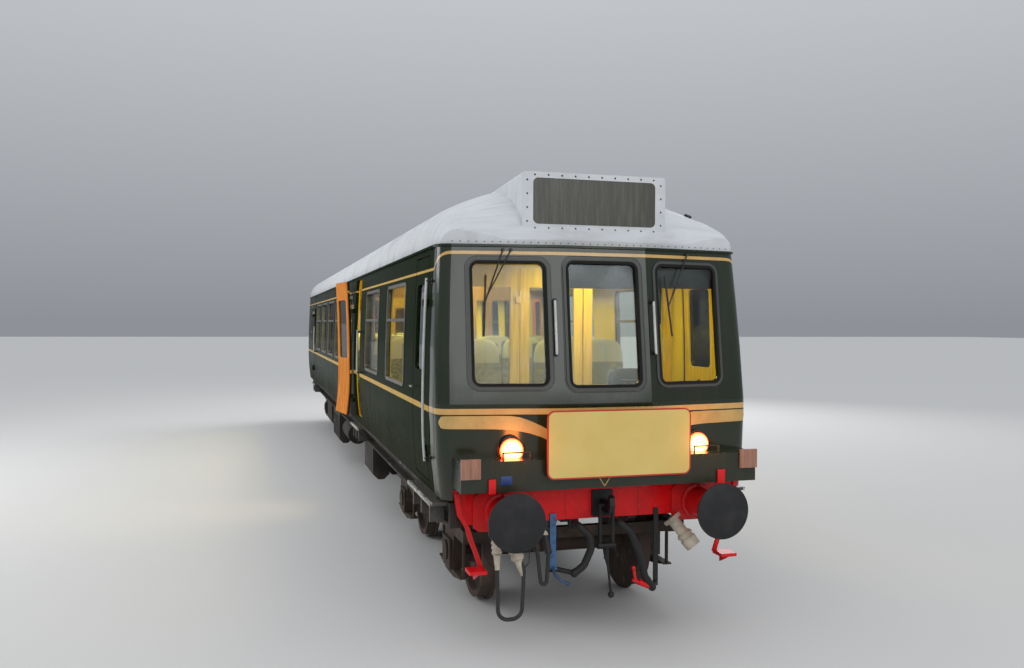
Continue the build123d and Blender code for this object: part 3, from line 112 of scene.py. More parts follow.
def skin_point(s, z, lift=0.0):
    """Point on the cab's skin at height z, s metres round its plan from the centre line."""
    lean = RAKE * max(0, z - RAKE_Z) / (CANT_Z - RAKE_Z)
    reach = half(z) - CORNER_R * (1 - sin(FACET_ANGLE))
    facet = (reach - CENTRE_HALF) / cos(FACET_ANGLE)
    corner_v = lean + (reach - CENTRE_HALF) * tan(FACET_ANGLE) + CORNER_R * cos(FACET_ANGLE)
    along = abs(s) - CENTRE_HALF
    if along <= 0:
        x, v, angle = abs(s), lean, 0
    elif along <= facet:
        angle = FACET_ANGLE
        x, v = CENTRE_HALF + along * cos(angle), lean + along * sin(angle)
    else:
        angle = min(pi / 2, FACET_ANGLE + (along - facet) / CORNER_R)
        past = max(0, along - facet - CORNER_R * (pi / 2 - FACET_ANGLE))
        x = half(z) - CORNER_R * (1 - sin(angle))
        v = corner_v - CORNER_R * cos(angle) + past
    side = -1 if s < 0 else 1
    return Vector((side * (x + lift * sin(angle)), at(v - lift * cos(angle)), z))


# Camera, from the photograph's own perspective

CAMERA_SPOT = (-2.798, at(-6.906), 2.603)
CAMERA_YAW = radians(15.985)
CAMERA_PITCH = radians(-0.688)
CAMERA_ROLL = radians(0.257)
FOCAL_PIXELS = 902.5
FRAME_WIDTH = 1024
SENSOR = 36.0

camera_data = bpy.data.cameras.new("camera")
camera_data.sensor_width = SENSOR
camera_data.lens = FOCAL_PIXELS / FRAME_WIDTH * SENSOR
camera_data.clip_end = 200
camera = bpy.data.objects.new("camera", camera_data)
turn = Matrix.Rotation(-CAMERA_YAW, 4, "Z") @ Matrix.Rotation(pi / 2 + CAMERA_PITCH, 4, "X")
camera.matrix_world = Matrix.Translation(CAMERA_SPOT) @ turn @ Matrix.Rotation(CAMERA_ROLL, 4, "Z")
bpy.context.scene.collection.objects.link(camera)
bpy.context.scene.camera = camera
bpy.context.scene.view_settings.view_transform = "Standard"


# Shader writing


class Value:
    """A socket that shader maths is written on as Python expressions."""

    def __init__(self, finish, socket):
        self.finish = finish
        self.socket = socket

    def maths(self, operation, *others):
        return self.finish.node("ShaderNodeMath", {"operation": operation}, self, *others)

    def __add__(self, other):
        return self.maths("ADD", other)

    def __sub__(self, other):
        return self.maths("SUBTRACT", other)

    def __mul__(self, other):
        return self.maths("MULTIPLY", other)

    def __truediv__(self, other):
        return self.maths("DIVIDE", other)

    def __pow__(self, other):
        return self.maths("POWER", other)

    def __rsub__(self, other):
        return self.finish.node("ShaderNodeMath", {"operation": "SUBTRACT"}, other, self)

    __radd__ = __add__
    __rmul__ = __mul__

    def __gt__(self, other):
        return self.maths("GREATER_THAN", other)

    def __lt__(self, other):
        return self.maths("LESS_THAN", other)

    def absolute(self):
        return self.maths("ABSOLUTE")

    def least(self, other):
        return self.maths("MINIMUM", other)

    def most(self, other):
        return self.maths("MAXIMUM", other)

    def clamped(self):
        return self.finish.node("ShaderNodeClamp", {}, self)

    def ramp(self, low, high):
        """0 below low, 1 above high, smooth between."""
        settings = {"interpolation_type": "SMOOTHSTEP", "clamp": True}
        return self.finish.node("ShaderNodeMapRange", settings, self, low, high, 0.0, 1.0)

    def between(self, low, high, edge=0.0008):
        """1 inside a band, with an edge as soft as given."""
        return self.ramp(low - edge, low + edge) * (1 - self.ramp(high - edge, high + edge))


class Finish:
    """A material under construction."""

    def __init__(self, name, **constants):
        self.material = bpy.data.materials.new(name)
        self.material.use_nodes = True
        self.tree = self.material.node_tree
        self.surface = self.tree.nodes["Principled BSDF"]
        self.output = self.tree.nodes["Material Output"]
        for socket, value in constants.items():
            self.surface.inputs[socket.replace("_", " ")].default_value = value

    def node(self, kind, settings, *inputs, output=0, **named):
        made = self.tree.nodes.new(kind)
        for name, value in settings.items():
            setattr(made, name, value)
        for socket, value in zip(made.inputs, inputs):
            self.put(socket, value)
        for name, value in named.items():
            self.put(made.inputs[name.replace("_", " ")], value)
        return Value(self, made.outputs[output])

    def put(self, socket, value):
        if isinstance(value, Value):
            self.tree.links.new(value.socket, socket)
        elif value is not None:
            socket.default_value = value

    def set(self, **links):
        for name, value in links.items():
            self.put(self.surface.inputs[name.replace("_", " ")], value)
        return self.material

    def place(self):
        """Object coordinates and their three parts."""
        spot = self.node("ShaderNodeTexCoord", {}, output=3)
        return spot, self.parts(spot)

    def parts(self, spot):
        """X, Y and Z of a place."""
        made = self.tree.nodes.new("ShaderNodeSeparateXYZ")
        self.put(made.inputs[0], spot)
        return [Value(self, socket) for socket in made.outputs]

    def bare(self):
        """The shader as it stands, to be mixed with another."""
        return Value(self, self.surface.outputs[0])

    def stretched(self, spot, scale):
        return self.node("ShaderNodeMapping", {}, Vector=spot, Scale=scale)

    def noise(self, spot, scale, detail=4.0, roughness=0.55):
        return self.node(
            "ShaderNodeTexNoise", {}, Vector=spot, Scale=scale, Detail=detail, Roughness=roughness
        )

    def mix(self, factor, low, high):
        """Colour between low and high."""
        made = self.tree.nodes.new("ShaderNodeMix")
        made.data_type = "RGBA"
        colours = [socket for socket in made.inputs if socket.type == "RGBA"]
        self.put(made.inputs[0], factor)
        self.put(colours[0], rgba(low))
        self.put(colours[1], rgba(high))
        return Value(self, next(s for s in made.outputs if s.type == "RGBA"))

    def bump(self, height, strength, distance):
        return self.node("ShaderNodeBump", {}, Strength=strength, Distance=distance, Height=height)

    def grain(self, spot):
        """Wood figure along Z."""
        return self.noise(self.stretched(spot, (14.0, 14.0, 0.9)), 3.0, 6.0, 0.6)

    def worn_cream(self, spot, dull):
        """Cream line paint, dulled in patches."""
        return self.mix(self.noise(spot, 9.0, 6.0).ramp(0.25, 0.75), dull, CREAM)


def rgba(colour):
    return colour if isinstance(colour, Value) or len(colour) == 4 else (*colour, 1.0)


# Colours, linear
GREEN = (0.0115, 0.0205, 0.0085)
CREAM = (0.62, 0.42, 0.14)
ROOF_WHITE = (0.66, 0.68, 0.70)
RED = (0.68, 0.006, 0.008)
SOOT = (0.018, 0.015, 0.013)
DUST = (0.16, 0.13, 0.10)
BOARD_YELLOW = (0.74, 0.55, 0.18)
LINING_YELLOW = (0.78, 0.56, 0.02)
LINING = (0.72, 0.56, 0.02)
YELLOW_DARK = (0.56, 0.38, 0.015)
YELLOW_LIGHT = (0.80, 0.56, 0.02)
WOOD_DARK = (0.50, 0.15, 0.03)
WOOD_LIGHT = (0.78, 0.30, 0.06)
# Pale grey-green of the cab window frames: painted reflection of the shell's sheen over its dark green
# paint
FRAME_SHEEN_GREY = (0.075, 0.08, 0.072)

# Where one finish gives way to another, in metres
WAIST_LINE = (1.860, 1.908)
UPPER_LINE = (3.037, 3.060)
UPPER_MIDDLE = sum(UPPER_LINE) / 2
UPPER_LINE_HALF = 0.0135
FRONT_UPPER = 3.180
FRONT_WAIST = (1.868, 1.915)
CAB_PANES = ((0.0, 0.646, 2.075, 3.125), (-0.799, 0.626, 2.090, 3.115), (0.799, 0.626, 2.090, 3.115))
PANE_CORNER = 0.075
LINING_DEPTH = 0.046
SHELL_WALL = 0.042
CEILING_REACH = 1.315
DOOR_SKIN = 0.03
DOOR_PANE = (0.0177, 0.0263)
WALL_PANE = 0.0042
SHARP_EDGE = 0.0001
BUFFER_HOUSING = (-0.137, BODY_LENGTH + 0.237)
BEAM_SEAMS = (-0.62, -0.32, 0.33, 0.66)
SEAM_HALF = 0.0022
HOSE_BAR_X = (-0.459, -0.403)
HOSE_BAR_FOOT = 0.585
JUMPER_PLUG_Z = 0.868
JUMPER_PLUG_BACK = 0.12
BOARD_CORNER = 0.06
BOARD_EDGE = 0.012
LENS_BACK = 0.012
LAMP_X = 0.82
LAMP_GLASS_Z = 1.586
LAMP_GLASS_RADIUS = 0.098

# Faint, because seen at a grazing angle the sides would mirror the pale floor
SIDE_GLOSS = 0.001


def skin_depth(finish, x, z):
    """How far inside the body side's outer skin a point lies."""
    above = z > WAIST_Z
    radius = above * (UPPER_BULGE - LOWER_BULGE) + LOWER_BULGE
    rise = z - WAIST_Z
    arc = (radius * radius - rise * rise) ** 0.5
    return arc - radius + WAIST_HALF - x.absolute()


def paint_colours(finish, spot, z, lined):
    """Dark green under washed-down dirt, with the cream lines: colour, dirt and bump."""
    streaks = finish.noise(finish.stretched(spot, (3.0, 3.0, 0.25)), 4.0)
    blotch = finish.noise(spot, 1.7, 6.0)
    fine = finish.noise(spot, 60.0, 3.0)
    dirt = (streaks.ramp(0.45, 0.8) * 0.5 + blotch.ramp(0.5, 0.85) * 0.4 + fine * 0.1).clamped()
    low = 1 - z.ramp(1.15, 1.75)
    dirt = (dirt * 0.35 + low * blotch * 0.7).clamped()
    colour = finish.mix(dirt, GREEN, (0.045, 0.040, 0.028))
    if lined:
        line = z.between(*WAIST_LINE)
        if lined == "sides":
            line = line.most(z.between(*UPPER_LINE))
        colour = finish.mix(line, colour, finish.worn_cream(spot, (0.54, 0.34, 0.10)))
    ripple = finish.noise(finish.stretched(spot, (1.0, 1.0, 1.6)), 1.1, 2.0)
    return colour, dirt, finish.bump(ripple, 0.22, 0.02)


def coach_paint(name, lined=None, lining=None):
    """Coach green; on the body sides the inner face is the saloon's lining."""
    finish = Finish(name, Specular_IOR_Level=SIDE_GLOSS)
    spot, (x, y, z) = finish.place()
    colour, dirt, bump = paint_colours(finish, spot, z, lined)
    if lining:
        inner = skin_depth(finish, x, z) > LINING_DEPTH
        colour = finish.mix(inner, colour, lining)
    return finish.set(Base_Color=colour, Roughness=0.16 + dirt * 0.5, Normal=bump)


def red_trimmed_paint():
    """Coach green with the lamp irons in red."""
    finish = Finish("fairing_green", Specular_IOR_Level=0.42)
    spot, (x, y, z) = finish.place()
    colour, dirt, bump = paint_colours(finish, spot, z, None)
    iron = (z < FAIRING_LOW - 0.0003).most(y < FAIRING_FRONT - 0.0003)
    return finish.set(Base_Color=finish.mix(iron, colour, RED), Roughness=0.16 + dirt * 0.5, Normal=bump)


def glazed(finish, pane, opaque):
    """Clear pane where the mask pane is 1, the given surface elsewhere."""
    clear = finish.node("ShaderNodeBsdfTransparent", {}, (0.95, 0.97, 0.95, 1.0))
    facing = finish.node("ShaderNodeFresnel", {}, 1.45)
    glossy = finish.node("ShaderNodeBsdfGlossy", {}, (0.9, 0.95, 1.0, 1.0), Roughness=0.03)
    glass = finish.node("ShaderNodeMixShader", {}, facing, clear, glossy)
    both = finish.node("ShaderNodeMixShader", {}, pane, opaque, glass)
    finish.put(finish.output.inputs[0], both)
    return finish.material


def door_paint(name, v_hinge, forward, width, low, high, inner, turned_by=0.0):
    """Outer door: lined green outside, its inner finish, bright handle and its own pane."""
    finish = Finish(name, Specular_IOR_Level=SIDE_GLOSS)
    spot = finish.place()[0]
    if turned_by:
        pin = Vector((-HINGE_X, at(v_hinge), 0))
        shift = pin - Matrix.Rotation(turned_by, 3, "Z") @ pin
        turn = (0, 0, turned_by)
        spot = finish.node("ShaderNodeMapping", {}, Vector=spot, Location=shift, Rotation=turn)
    x, y, z = finish.parts(spot)
    depth = skin_depth(finish, x, z)
    colour, dirt, bump = paint_colours(finish, spot, z, "sides")
    wood = finish.mix(finish.grain(spot).ramp(0.3, 0.7), *inner)
    colour = finish.mix(depth > DOOR_SKIN, colour, wood)
    fitting = (1 - (depth > -0.002)) * (z > 1.9)
    colour = finish.mix(fitting, colour, (0.55, 0.52, 0.46))
    finish.set(Base_Color=colour, Roughness=0.18 + dirt * 0.4, Normal=bump, Metallic=fitting * 0.9)
    near = v_hinge + forward * (DOOR_CLEAR + DOOR_STILE)
    far = v_hinge + forward * (width - SHUT_GAP - DOOR_STILE)
    v0, v1 = sorted((near, far))
    pane = depth.between(*DOOR_PANE, SHARP_EDGE) * z.between(low, high, SHARP_EDGE)
    pane = pane * y.between(at(v0), at(v1), SHARP_EDGE)
    return glazed(finish, pane, finish.bare())


def wall_panels(name, walls, door_half, lower, upper):
    """Cross walls of wood with their own panes, at the distances v given."""
    finish = Finish(name, Specular_IOR_Level=0.5)
    spot, (x, y, z) = finish.place()
    grain = finish.grain(spot).ramp(0.3, 0.7)
    dark = finish.mix(z > GLAZED_Z[0], lower[0], upper[0])
    light = finish.mix(z > GLAZED_Z[0], lower[1], upper[1])
    finish.set(Base_Color=finish.mix(grain, dark, light), Roughness=0.3 + grain * 0.1)
    near, far = door_half
    pane = x.absolute().between(near, far, SHARP_EDGE) * z.between(*GLAZED_Z, SHARP_EDGE)
    middle = None
    for v in walls:
        band = y.between(at(v) - WALL_PANE, at(v) + WALL_PANE, SHARP_EDGE)
        middle = band if middle is None else middle.most(band)
    return glazed(finish, pane * middle, finish.bare())


def roof_paint(name, ceiling, soot):
    """Off-white roof paint with soot that ran down from the ridge, and the saloon's ceiling."""
    finish = Finish(name, Roughness=0.6, Specular_IOR_Level=0.3)
    spot, (x, y, z) = finish.place()
    runs = finish.noise(finish.stretched(spot, (1.2, 9.0, 1.2)), 2.4, 6.0)
    patches = finish.noise(spot, 1.9, 8.0, 0.65)
    specks = finish.noise(spot, 45.0, 3.0)
    dirt = (runs.ramp(0.42, 0.78) * 0.6 + patches.ramp(0.45, 0.8) * 0.55 + specks.ramp(0.6, 0.8) * 0.25)
    edge = 1 - z.ramp(CANT_Z + 0.01, CANT_Z + 0.10)
    dirt = (dirt + edge * patches * 0.5).clamped()
    colour = finish.mix(dirt * soot, ROOF_WHITE, (0.20, 0.20, 0.205))
    if ceiling:
        flattened = (z - CANT_Z) * (CANT_HALF / ROOF_RISE)
        reach = (x * x + flattened * flattened) ** 0.5
        colour = finish.mix(reach < CEILING_REACH, colour, (0.72, 0.66, 0.50))
    return finish.set(Base_Color=colour, Normal=finish.bump(specks, 0.15, 0.001))


def red_paint():
    """Bright gloss red, chipped to dark specks."""
    finish = Finish("red_paint", Roughness=0.3, Specular_IOR_Level=0.45)
    spot = finish.place()[0]
    chips = finish.noise(spot, 55.0, 5.0, 0.7).ramp(0.68, 0.72)
    grime = finish.noise(spot, 5.0, 6.0).ramp(0.45, 0.85)
    colour = finish.mix(grime * 0.45, RED, (0.30, 0.008, 0.008))
    colour = finish.mix(chips * 0.8, colour, (0.05, 0.012, 0.01))
    bump = finish.bump(chips, 0.3, 0.0006)
    return finish.set(Base_Color=colour, Roughness=0.24 + grime * 0.3, Normal=bump)


def frame_black(name="frame_black", tone=SOOT, dust=DUST, amount=0.4):
    """Underframe black under brake dust and oil."""
    finish = Finish(name, Roughness=0.7, Specular_IOR_Level=0.35)
    spot = finish.place()[0]
    cloud = finish.noise(spot, 3.0, 8.0, 0.6)
    grain = finish.noise(spot, 90.0, 4.0)
    dusty = (cloud.ramp(0.42, 0.8) * 0.8 + grain * 0.2) * amount
    oil = finish.noise(spot, 6.5, 3.0).ramp(0.6, 0.7)
    colour = finish.mix(dusty, tone, dust)
    return finish.set(
        Base_Color=colour, Roughness=0.75 - oil * 0.4, Normal=finish.bump(grain, 0.35, 0.001)
    )


def plain(name, colour, roughness=0.5, metallic=0.0, grain=120.0, vary=0.2):
    """A simple finish with slight variation and grain."""
    finish = Finish(name)
    spot = finish.place()[0]
    cloud = finish.noise(spot, 7.0, 6.0)
    fine = finish.noise(spot, grain, 4.0)
    darker = tuple(c * (1 - vary * 1.6) for c in colour)
    shade = finish.mix((cloud * 0.7 + fine * 0.3).ramp(0.3, 0.7), darker, colour)
    return finish.set(
        Base_Color=shade,
        Metallic=metallic,
        Roughness=fine * 0.2 + (roughness - 0.1),
        Normal=finish.bump(fine, 0.15, 0.0008),
    )


def window_glass(name, tint, dirt_level, index):
    """Thin clear pane: a tinted see-through layer under a Fresnel reflection and faint dirt."""
    finish = Finish(name, Roughness=0.04, Specular_IOR_Level=0.5)
    spot = finish.place()[0]
    dirt = finish.noise(spot, 3.0, 7.0, 0.65).ramp(0.45, 0.9)
    finish.set(Base_Color=(0.30, 0.31, 0.30, 1.0))
    clear = finish.node("ShaderNodeBsdfTransparent", {}, (*tint, 1.0))
    facing = finish.node("ShaderNodeFresnel", {}, index)
    factor = (facing + dirt * dirt_level).clamped()
    glossy = finish.node("ShaderNodeBsdfGlossy", {}, (0.9, 0.95, 1.0, 1.0), Roughness=0.03)
    soiled = dirt * 0.5
    skin = finish.node("ShaderNodeMixShader", {}, soiled, glossy, finish.bare())
    pane = finish.node("ShaderNodeMixShader", {}, factor, clear, skin)
    finish.put(finish.output.inputs[0], pane)
    return finish.material


def glow(name, colour, strength):
    """A lit lamp or diffuser."""
    finish = Finish(name, Roughness=0.4, Emission_Strength=strength)
    spot = finish.place()[0]
    soft = finish.noise(spot, 8.0, 2.0)
    shade = finish.mix(soft, tuple(c * 0.85 for c in colour), colour)
    return finish.set(Base_Color=(*colour, 1.0), Emission_Color=shade)


def veneer(name, dark, light, roughness):
    """Varnished wood with grain along Z."""
    finish = Finish(name, Specular_IOR_Level=0.5)
    spot = finish.place()[0]
    rings = finish.grain(spot)
    fine = finish.noise(finish.stretched(spot, (60.0, 60.0, 3.0)), 4.0, 4.0)
    shade = finish.mix((rings * 0.7 + fine * 0.3).ramp(0.3, 0.7), dark, light)
    bump = finish.bump(fine, 0.1, 0.0005)
    return finish.set(Base_Color=shade, Roughness=roughness + fine * 0.15, Normal=bump)


def cab_shell_paint():
    """Front of the cab: green with the cream waist and upper lines, yellow inside."""
    finish = Finish("cab_front_green", Specular_IOR_Level=0.5)
    spot, (x, y, z) = finish.place()
    colour, dirt, bump = paint_colours(finish, spot, z, None)
    away = y - NOSE
    fallen = 1 - away.ramp(0.29, 0.48)
    middle = fallen * (FRONT_UPPER - UPPER_MIDDLE) + UPPER_MIDDLE
    upper = (z - middle).absolute() < UPPER_LINE_HALF
    waist = z.between(*FRONT_WAIST)
    colour = finish.mix(upper.most(waist), colour, finish.worn_cream(spot, (0.60, 0.34, 0.12)))
    lean = (z - RAKE_Z).most(0.0) * (RAKE / (CANT_Z - RAKE_Z))
    setback = (x.absolute() - CENTRE_HALF).most(0.0) * tan(FACET_ANGLE)
    inside = ((away - lean - setback) > SHELL_WALL) * (skin_depth(finish, x, z) > SHELL_WALL)
    colour = finish.mix(inside, colour, LINING_YELLOW)
    return finish.set(Base_Color=colour, Roughness=0.12 + dirt * 0.45, Normal=bump)


def past_rounded(across, upright, half_width, half_height, corner):
    """Distance past the edge of a rounded rectangle, from distances off its middle."""
    out = (across - (half_width - corner)).most(0.0)
    up = (upright - (half_height - corner)).most(0.0)
    return (out * out + up * up) ** 0.5 - corner


def off_middle(x, z, middle_x, middle_z):
    """Distance from the middle of the lamp on either side."""
    out, up = x.absolute() - middle_x, z - middle_z
    return (out * out + up * up) ** 0.5


def seal_finish():
    """Black rubber round the cab panes inside a frame lightened to grey-green: a painted reflection
    standing in for the sheen of the glossy shell.
    """
    finish = Finish("cab_seal", Specular_IOR_Level=0.2)
    spot, (x, y, z) = finish.place()
    bump = paint_colours(finish, spot, z, None)[2]
    away = None
    for middle, width, low, high in CAB_PANES[::2]:
        wide = cos(FACET_ANGLE) if middle else 1.0
        across = (x.absolute() - middle).absolute() / wide
        upright = (z - (low + high) / 2).absolute()
        gap = past_rounded(across, upright, width / 2 / wide, (high - low) / 2, PANE_CORNER)
        away = gap if away is None else away.least(gap)
    fine = finish.noise(spot, 90.0, 4.0)
    rubber = finish.mix(fine, (0.006, 0.006, 0.006), (0.02, 0.02, 0.019))
    painted = away > 0.001
    # The frame band takes the pale grey-green, a painted reflection in place of the green paint's sheen
    colour = finish.mix(painted, rubber, FRAME_SHEEN_GREY)
    return finish.set(Base_Color=colour, Roughness=0.8 - painted * 0.5, Normal=bump)


def headboard_paint():
    """Pale yellow board with a red edge."""
    finish = Finish("headboard_yellow", Specular_IOR_Level=0.4)
    spot, (x, y, z) = finish.place()
    low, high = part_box("headboard")
    centre, size = (low + high) / 2, high - low
    across, upright = (x - centre.x).absolute(), (z - centre.z).absolute()
    edge = past_rounded(across, upright, size.x / 2, size.z / 2, BOARD_CORNER) > -BOARD_EDGE
    cloud = finish.noise(spot, 4.0, 3.0)
    face = finish.mix(cloud.ramp(0.2, 0.8), (0.69, 0.50, 0.145), BOARD_YELLOW)
    colour = finish.mix(edge, face, (0.50, 0.035, 0.02))
    return finish.set(Base_Color=colour, Roughness=0.28 + cloud * 0.15)


def lamp_finish():
    """Black lamp housing round a lit lens."""
    finish = Finish("marker_lamp", Roughness=0.4, Emission_Strength=6.0)
    spot, (x, y, z) = finish.place()
    low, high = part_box("marker_lamps")
    radius = off_middle(x, z, high.x - (high.z - low.z) / 2, (low.z + high.z) / 2)
    lens = y < at(LENS_BACK)
    heart = 1 - radius.ramp(0.012, 0.070)
    light = finish.mix(heart, (1.0, 0.055, 0.005), (1.0, 0.55, 0.18))
    finish.set(Base_Color=finish.mix(lens, (0.015, 0.014, 0.013), (1.0, 0.5, 0.2)))
    return finish.set(Emission_Color=finish.mix(lens, (0.0, 0.0, 0.0), light))


def lamp_glass():
    """Lit lamp glass, pale at its heart and orange at its rim."""
    finish = Finish("lamp_glass", Roughness=0.3, Emission_Strength=6.0)
    spot, (x, y, z) = finish.place()
    rim = off_middle(x, z, LAMP_X, LAMP_GLASS_Z).ramp(0.055, LAMP_GLASS_RADIUS - 0.002)
    light = finish.mix(rim, (1.0, 0.55, 0.18), (1.0, 0.045, 0.004))
    return finish.set(Base_Color=(0.8, 0.4, 0.15, 1.0), Emission_Color=light)


def buffer_finish():
    """Red housing and flange; dark greasy ram and head."""
    finish = Finish("buffer_red", Specular_IOR_Level=0.45)
    spot, (x, y, z) = finish.place()
    chips = finish.noise(spot, 55.0, 5.0, 0.7).ramp(0.66, 0.72)
    grime = finish.noise(spot, 6.0, 6.0).ramp(0.4, 0.85)
    fine = finish.noise(spot, 70.0, 4.0)
    housing = (y > at(BUFFER_HOUSING[0])) * (y < at(BUFFER_HOUSING[1]))
    red = finish.mix(grime * 0.5, RED, (0.22, 0.008, 0.008))
    red = finish.mix(chips * 0.8, red, (0.05, 0.012, 0.01))
    grease = finish.mix(grime, (0.008, 0.008, 0.009), (0.026, 0.025, 0.026))
    colour = finish.mix(housing, grease, red)
    rough = 0.5 + fine * 0.2 - housing * 0.2
    return finish.set(Base_Color=colour, Roughness=rough, Normal=finish.bump(fine, 0.3, 0.0012))


def blistered_red():
    """Beam red whose paint has blistered and been touched in, with plate seams."""
    finish = Finish("beam_red", Specular_IOR_Level=0.25)
    spot, (x, y, z) = finish.place()
    blister = finish.noise(spot, 38.0, 5.0, 0.65)
    light = blister.ramp(0.55, 0.68)
    chips = finish.noise(spot, 70.0, 5.0, 0.7).ramp(0.69, 0.73)
    grime = finish.noise(spot, 4.0, 6.0).ramp(0.5, 0.85)
    red = finish.mix(light * 0.14, RED, (0.86, 0.12, 0.09))
    red = finish.mix(grime * 0.6, red, (0.22, 0.01, 0.01))
    red = finish.mix(chips * 0.8, red, (0.06, 0.012, 0.01))
    seam = None
    for place in BEAM_SEAMS:
        line = (x - place).absolute() < SEAM_HALF
        seam = line if seam is None else seam.most(line)
    red = finish.mix(seam * 0.85, red, (0.05, 0.006, 0.006))
    height = blister.ramp(0.4, 0.7) - chips
    bump = finish.bump(height, 0.4, 0.0015)
    return finish.set(Base_Color=red, Roughness=0.22 + grime * 0.4, Normal=bump)


def step_paint():
    """Red front steps; dark side footboards with a white edge."""
    finish = Finish("step_red", Specular_IOR_Level=0.4)
    spot, (x, y, z) = finish.place()
    chips = finish.noise(spot, 45.0, 5.0, 0.7).ramp(0.62, 0.72)
    red = finish.mix(chips * 0.8, RED, (0.07, 0.012, 0.01))
    board = finish.mix(finish.noise(spot, 30.0, 5.0), (0.03, 0.028, 0.026), (0.11, 0.10, 0.085))
    edge = x.absolute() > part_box("footsteps")[1].x - 0.02
    worn = finish.noise(spot, 24.0, 5.0).ramp(0.35, 0.6)
    board = finish.mix(edge * worn, board, (0.55, 0.54, 0.50))
    colour = finish.mix(y > at(0.2), red, board)
    bump = finish.bump(chips, 0.3, 0.0008)
    return finish.set(Base_Color=colour, Roughness=0.35 + chips * 0.3, Normal=bump)


def hose_finish():
    """Black ribbed hoses on a mid-blue bracket bar."""
    finish = Finish("hose_rubber", Specular_IOR_Level=0.4)
    spot, (x, y, z) = finish.place()
    fine = finish.noise(spot, 80.0, 4.0)
    bar = x.between(*HOSE_BAR_X, 0.0005) * (z > HOSE_BAR_FOOT)
    wear = finish.noise(spot, 26.0, 5.0).ramp(0.45, 0.7)
    rubber = finish.mix(fine, (0.006, 0.006, 0.006), (0.022, 0.021, 0.020))
    blue = finish.mix(wear * 0.6, (0.055, 0.14, 0.30), (0.03, 0.05, 0.08))
    colour = finish.mix(bar, rubber, blue)
    return finish.set(Base_Color=colour, Roughness=0.6 - bar * 0.2, Normal=finish.bump(fine, 0.3, 0.0008))


def jumper_finish():
    """Dusty black cables in cream cast plugs."""
    finish = Finish("jumper_rubber", Specular_IOR_Level=0.4)
    spot, (x, y, z) = finish.place()
    fine = finish.noise(spot, 80.0, 4.0)
    plug = (z > JUMPER_PLUG_Z) * (y < at(JUMPER_PLUG_BACK))
    wear = finish.noise(spot, 22.0, 5.0).ramp(0.4, 0.75)
    cream = finish.mix(wear, (0.62, 0.55, 0.42), (0.16, 0.12, 0.08))
    rubber = finish.mix(fine, (0.012, 0.012, 0.012), (0.05, 0.045, 0.04))
    colour = finish.mix(plug, rubber, cream)
    return finish.set(Base_Color=colour, Roughness=0.5 + fine * 0.2, Normal=finish.bump(fine, 0.3, 0.0008))


def indicator_glass():
    """Olive-grey painted-out glass with pale rain streaks."""
    finish = Finish("indicator_glass", Specular_IOR_Level=0.3)
    spot = finish.place()[0]
    streaks = finish.noise(finish.stretched(spot, (16.0, 16.0, 1.2)), 2.0, 5.0)
    cloud = finish.noise(spot, 5.0, 5.0)
    shade = (streaks.ramp(0.35, 0.75) * 0.7 + cloud * 0.3).clamped()
    colour = finish.mix(shade, (0.040, 0.040, 0.030), (0.115, 0.115, 0.098))
    return finish.set(Base_Color=colour, Roughness=0.22 + shade * 0.1)


def moquette(name, low_colour, high_colour, cover):
    """Woven seat cloth with a pale head cover above a height, if one is given."""
    finish = Finish(name, Roughness=0.9, Specular_IOR_Level=0.15)
    spot, (x, y, z) = finish.place()
    wave = {"wave_type": "BANDS", "bands_direction": "X"}
    warp = finish.node("ShaderNodeTexWave", wave, Vector=spot, Scale=60.0, Distortion=1.5, output=1)
    wave = {"wave_type": "BANDS", "bands_direction": "Z"}
    weft = finish.node("ShaderNodeTexWave", wave, Vector=spot, Scale=60.0, output=1)
    weave = warp * 0.5 + weft * 0.5
    check = finish.noise(finish.stretched(spot, (1.0, 1.0, 1.6)), 26.0, 1.0).ramp(0.42, 0.58)
    colour = finish.mix((check * 0.7 + weave * 0.3).clamped(), low_colour, high_colour)
    if cover:
        linen = finish.mix(weave, (0.40, 0.41, 0.28), (0.54, 0.54, 0.38))
        colour = finish.mix(z > cover, colour, linen)
    return finish.set(Base_Color=colour, Normal=finish.bump(weave, 0.25, 0.0008))


BODY_SIDE = coach_paint("green_lined", "sides", LINING)
CAB_SHELL = cab_shell_paint()
PAINT = coach_paint("green_plain")
FAIRING_PAINT = red_trimmed_paint()
ROOF = roof_paint("roof_paint", True, 0.70)
DOME = roof_paint("dome_paint", False, 0.34)
RED_PAINT = red_paint()
BEAM_RED = blistered_red()
STEP_RED = step_paint()
BUFFER_PAINT = buffer_finish()
FRAME_BLACK = frame_black()
RUNNING_BLACK = frame_black("running_black", (0.03, 0.022, 0.016), (0.20, 0.13, 0.085), 0.6)
WHEEL_STEEL = frame_black("wheel_steel", (0.05, 0.035, 0.028), (0.16, 0.10, 0.07), 0.6)
COUPLING_STEEL = plain("coupling_steel", (0.020, 0.020, 0.021), 0.5, 0.4, vary=0.4)
RUBBER = plain("rubber", (0.012, 0.012, 0.012), 0.75, grain=200.0)
CAB_SEAL = seal_finish()
HOSE = hose_finish()
JUMPER = jumper_finish()
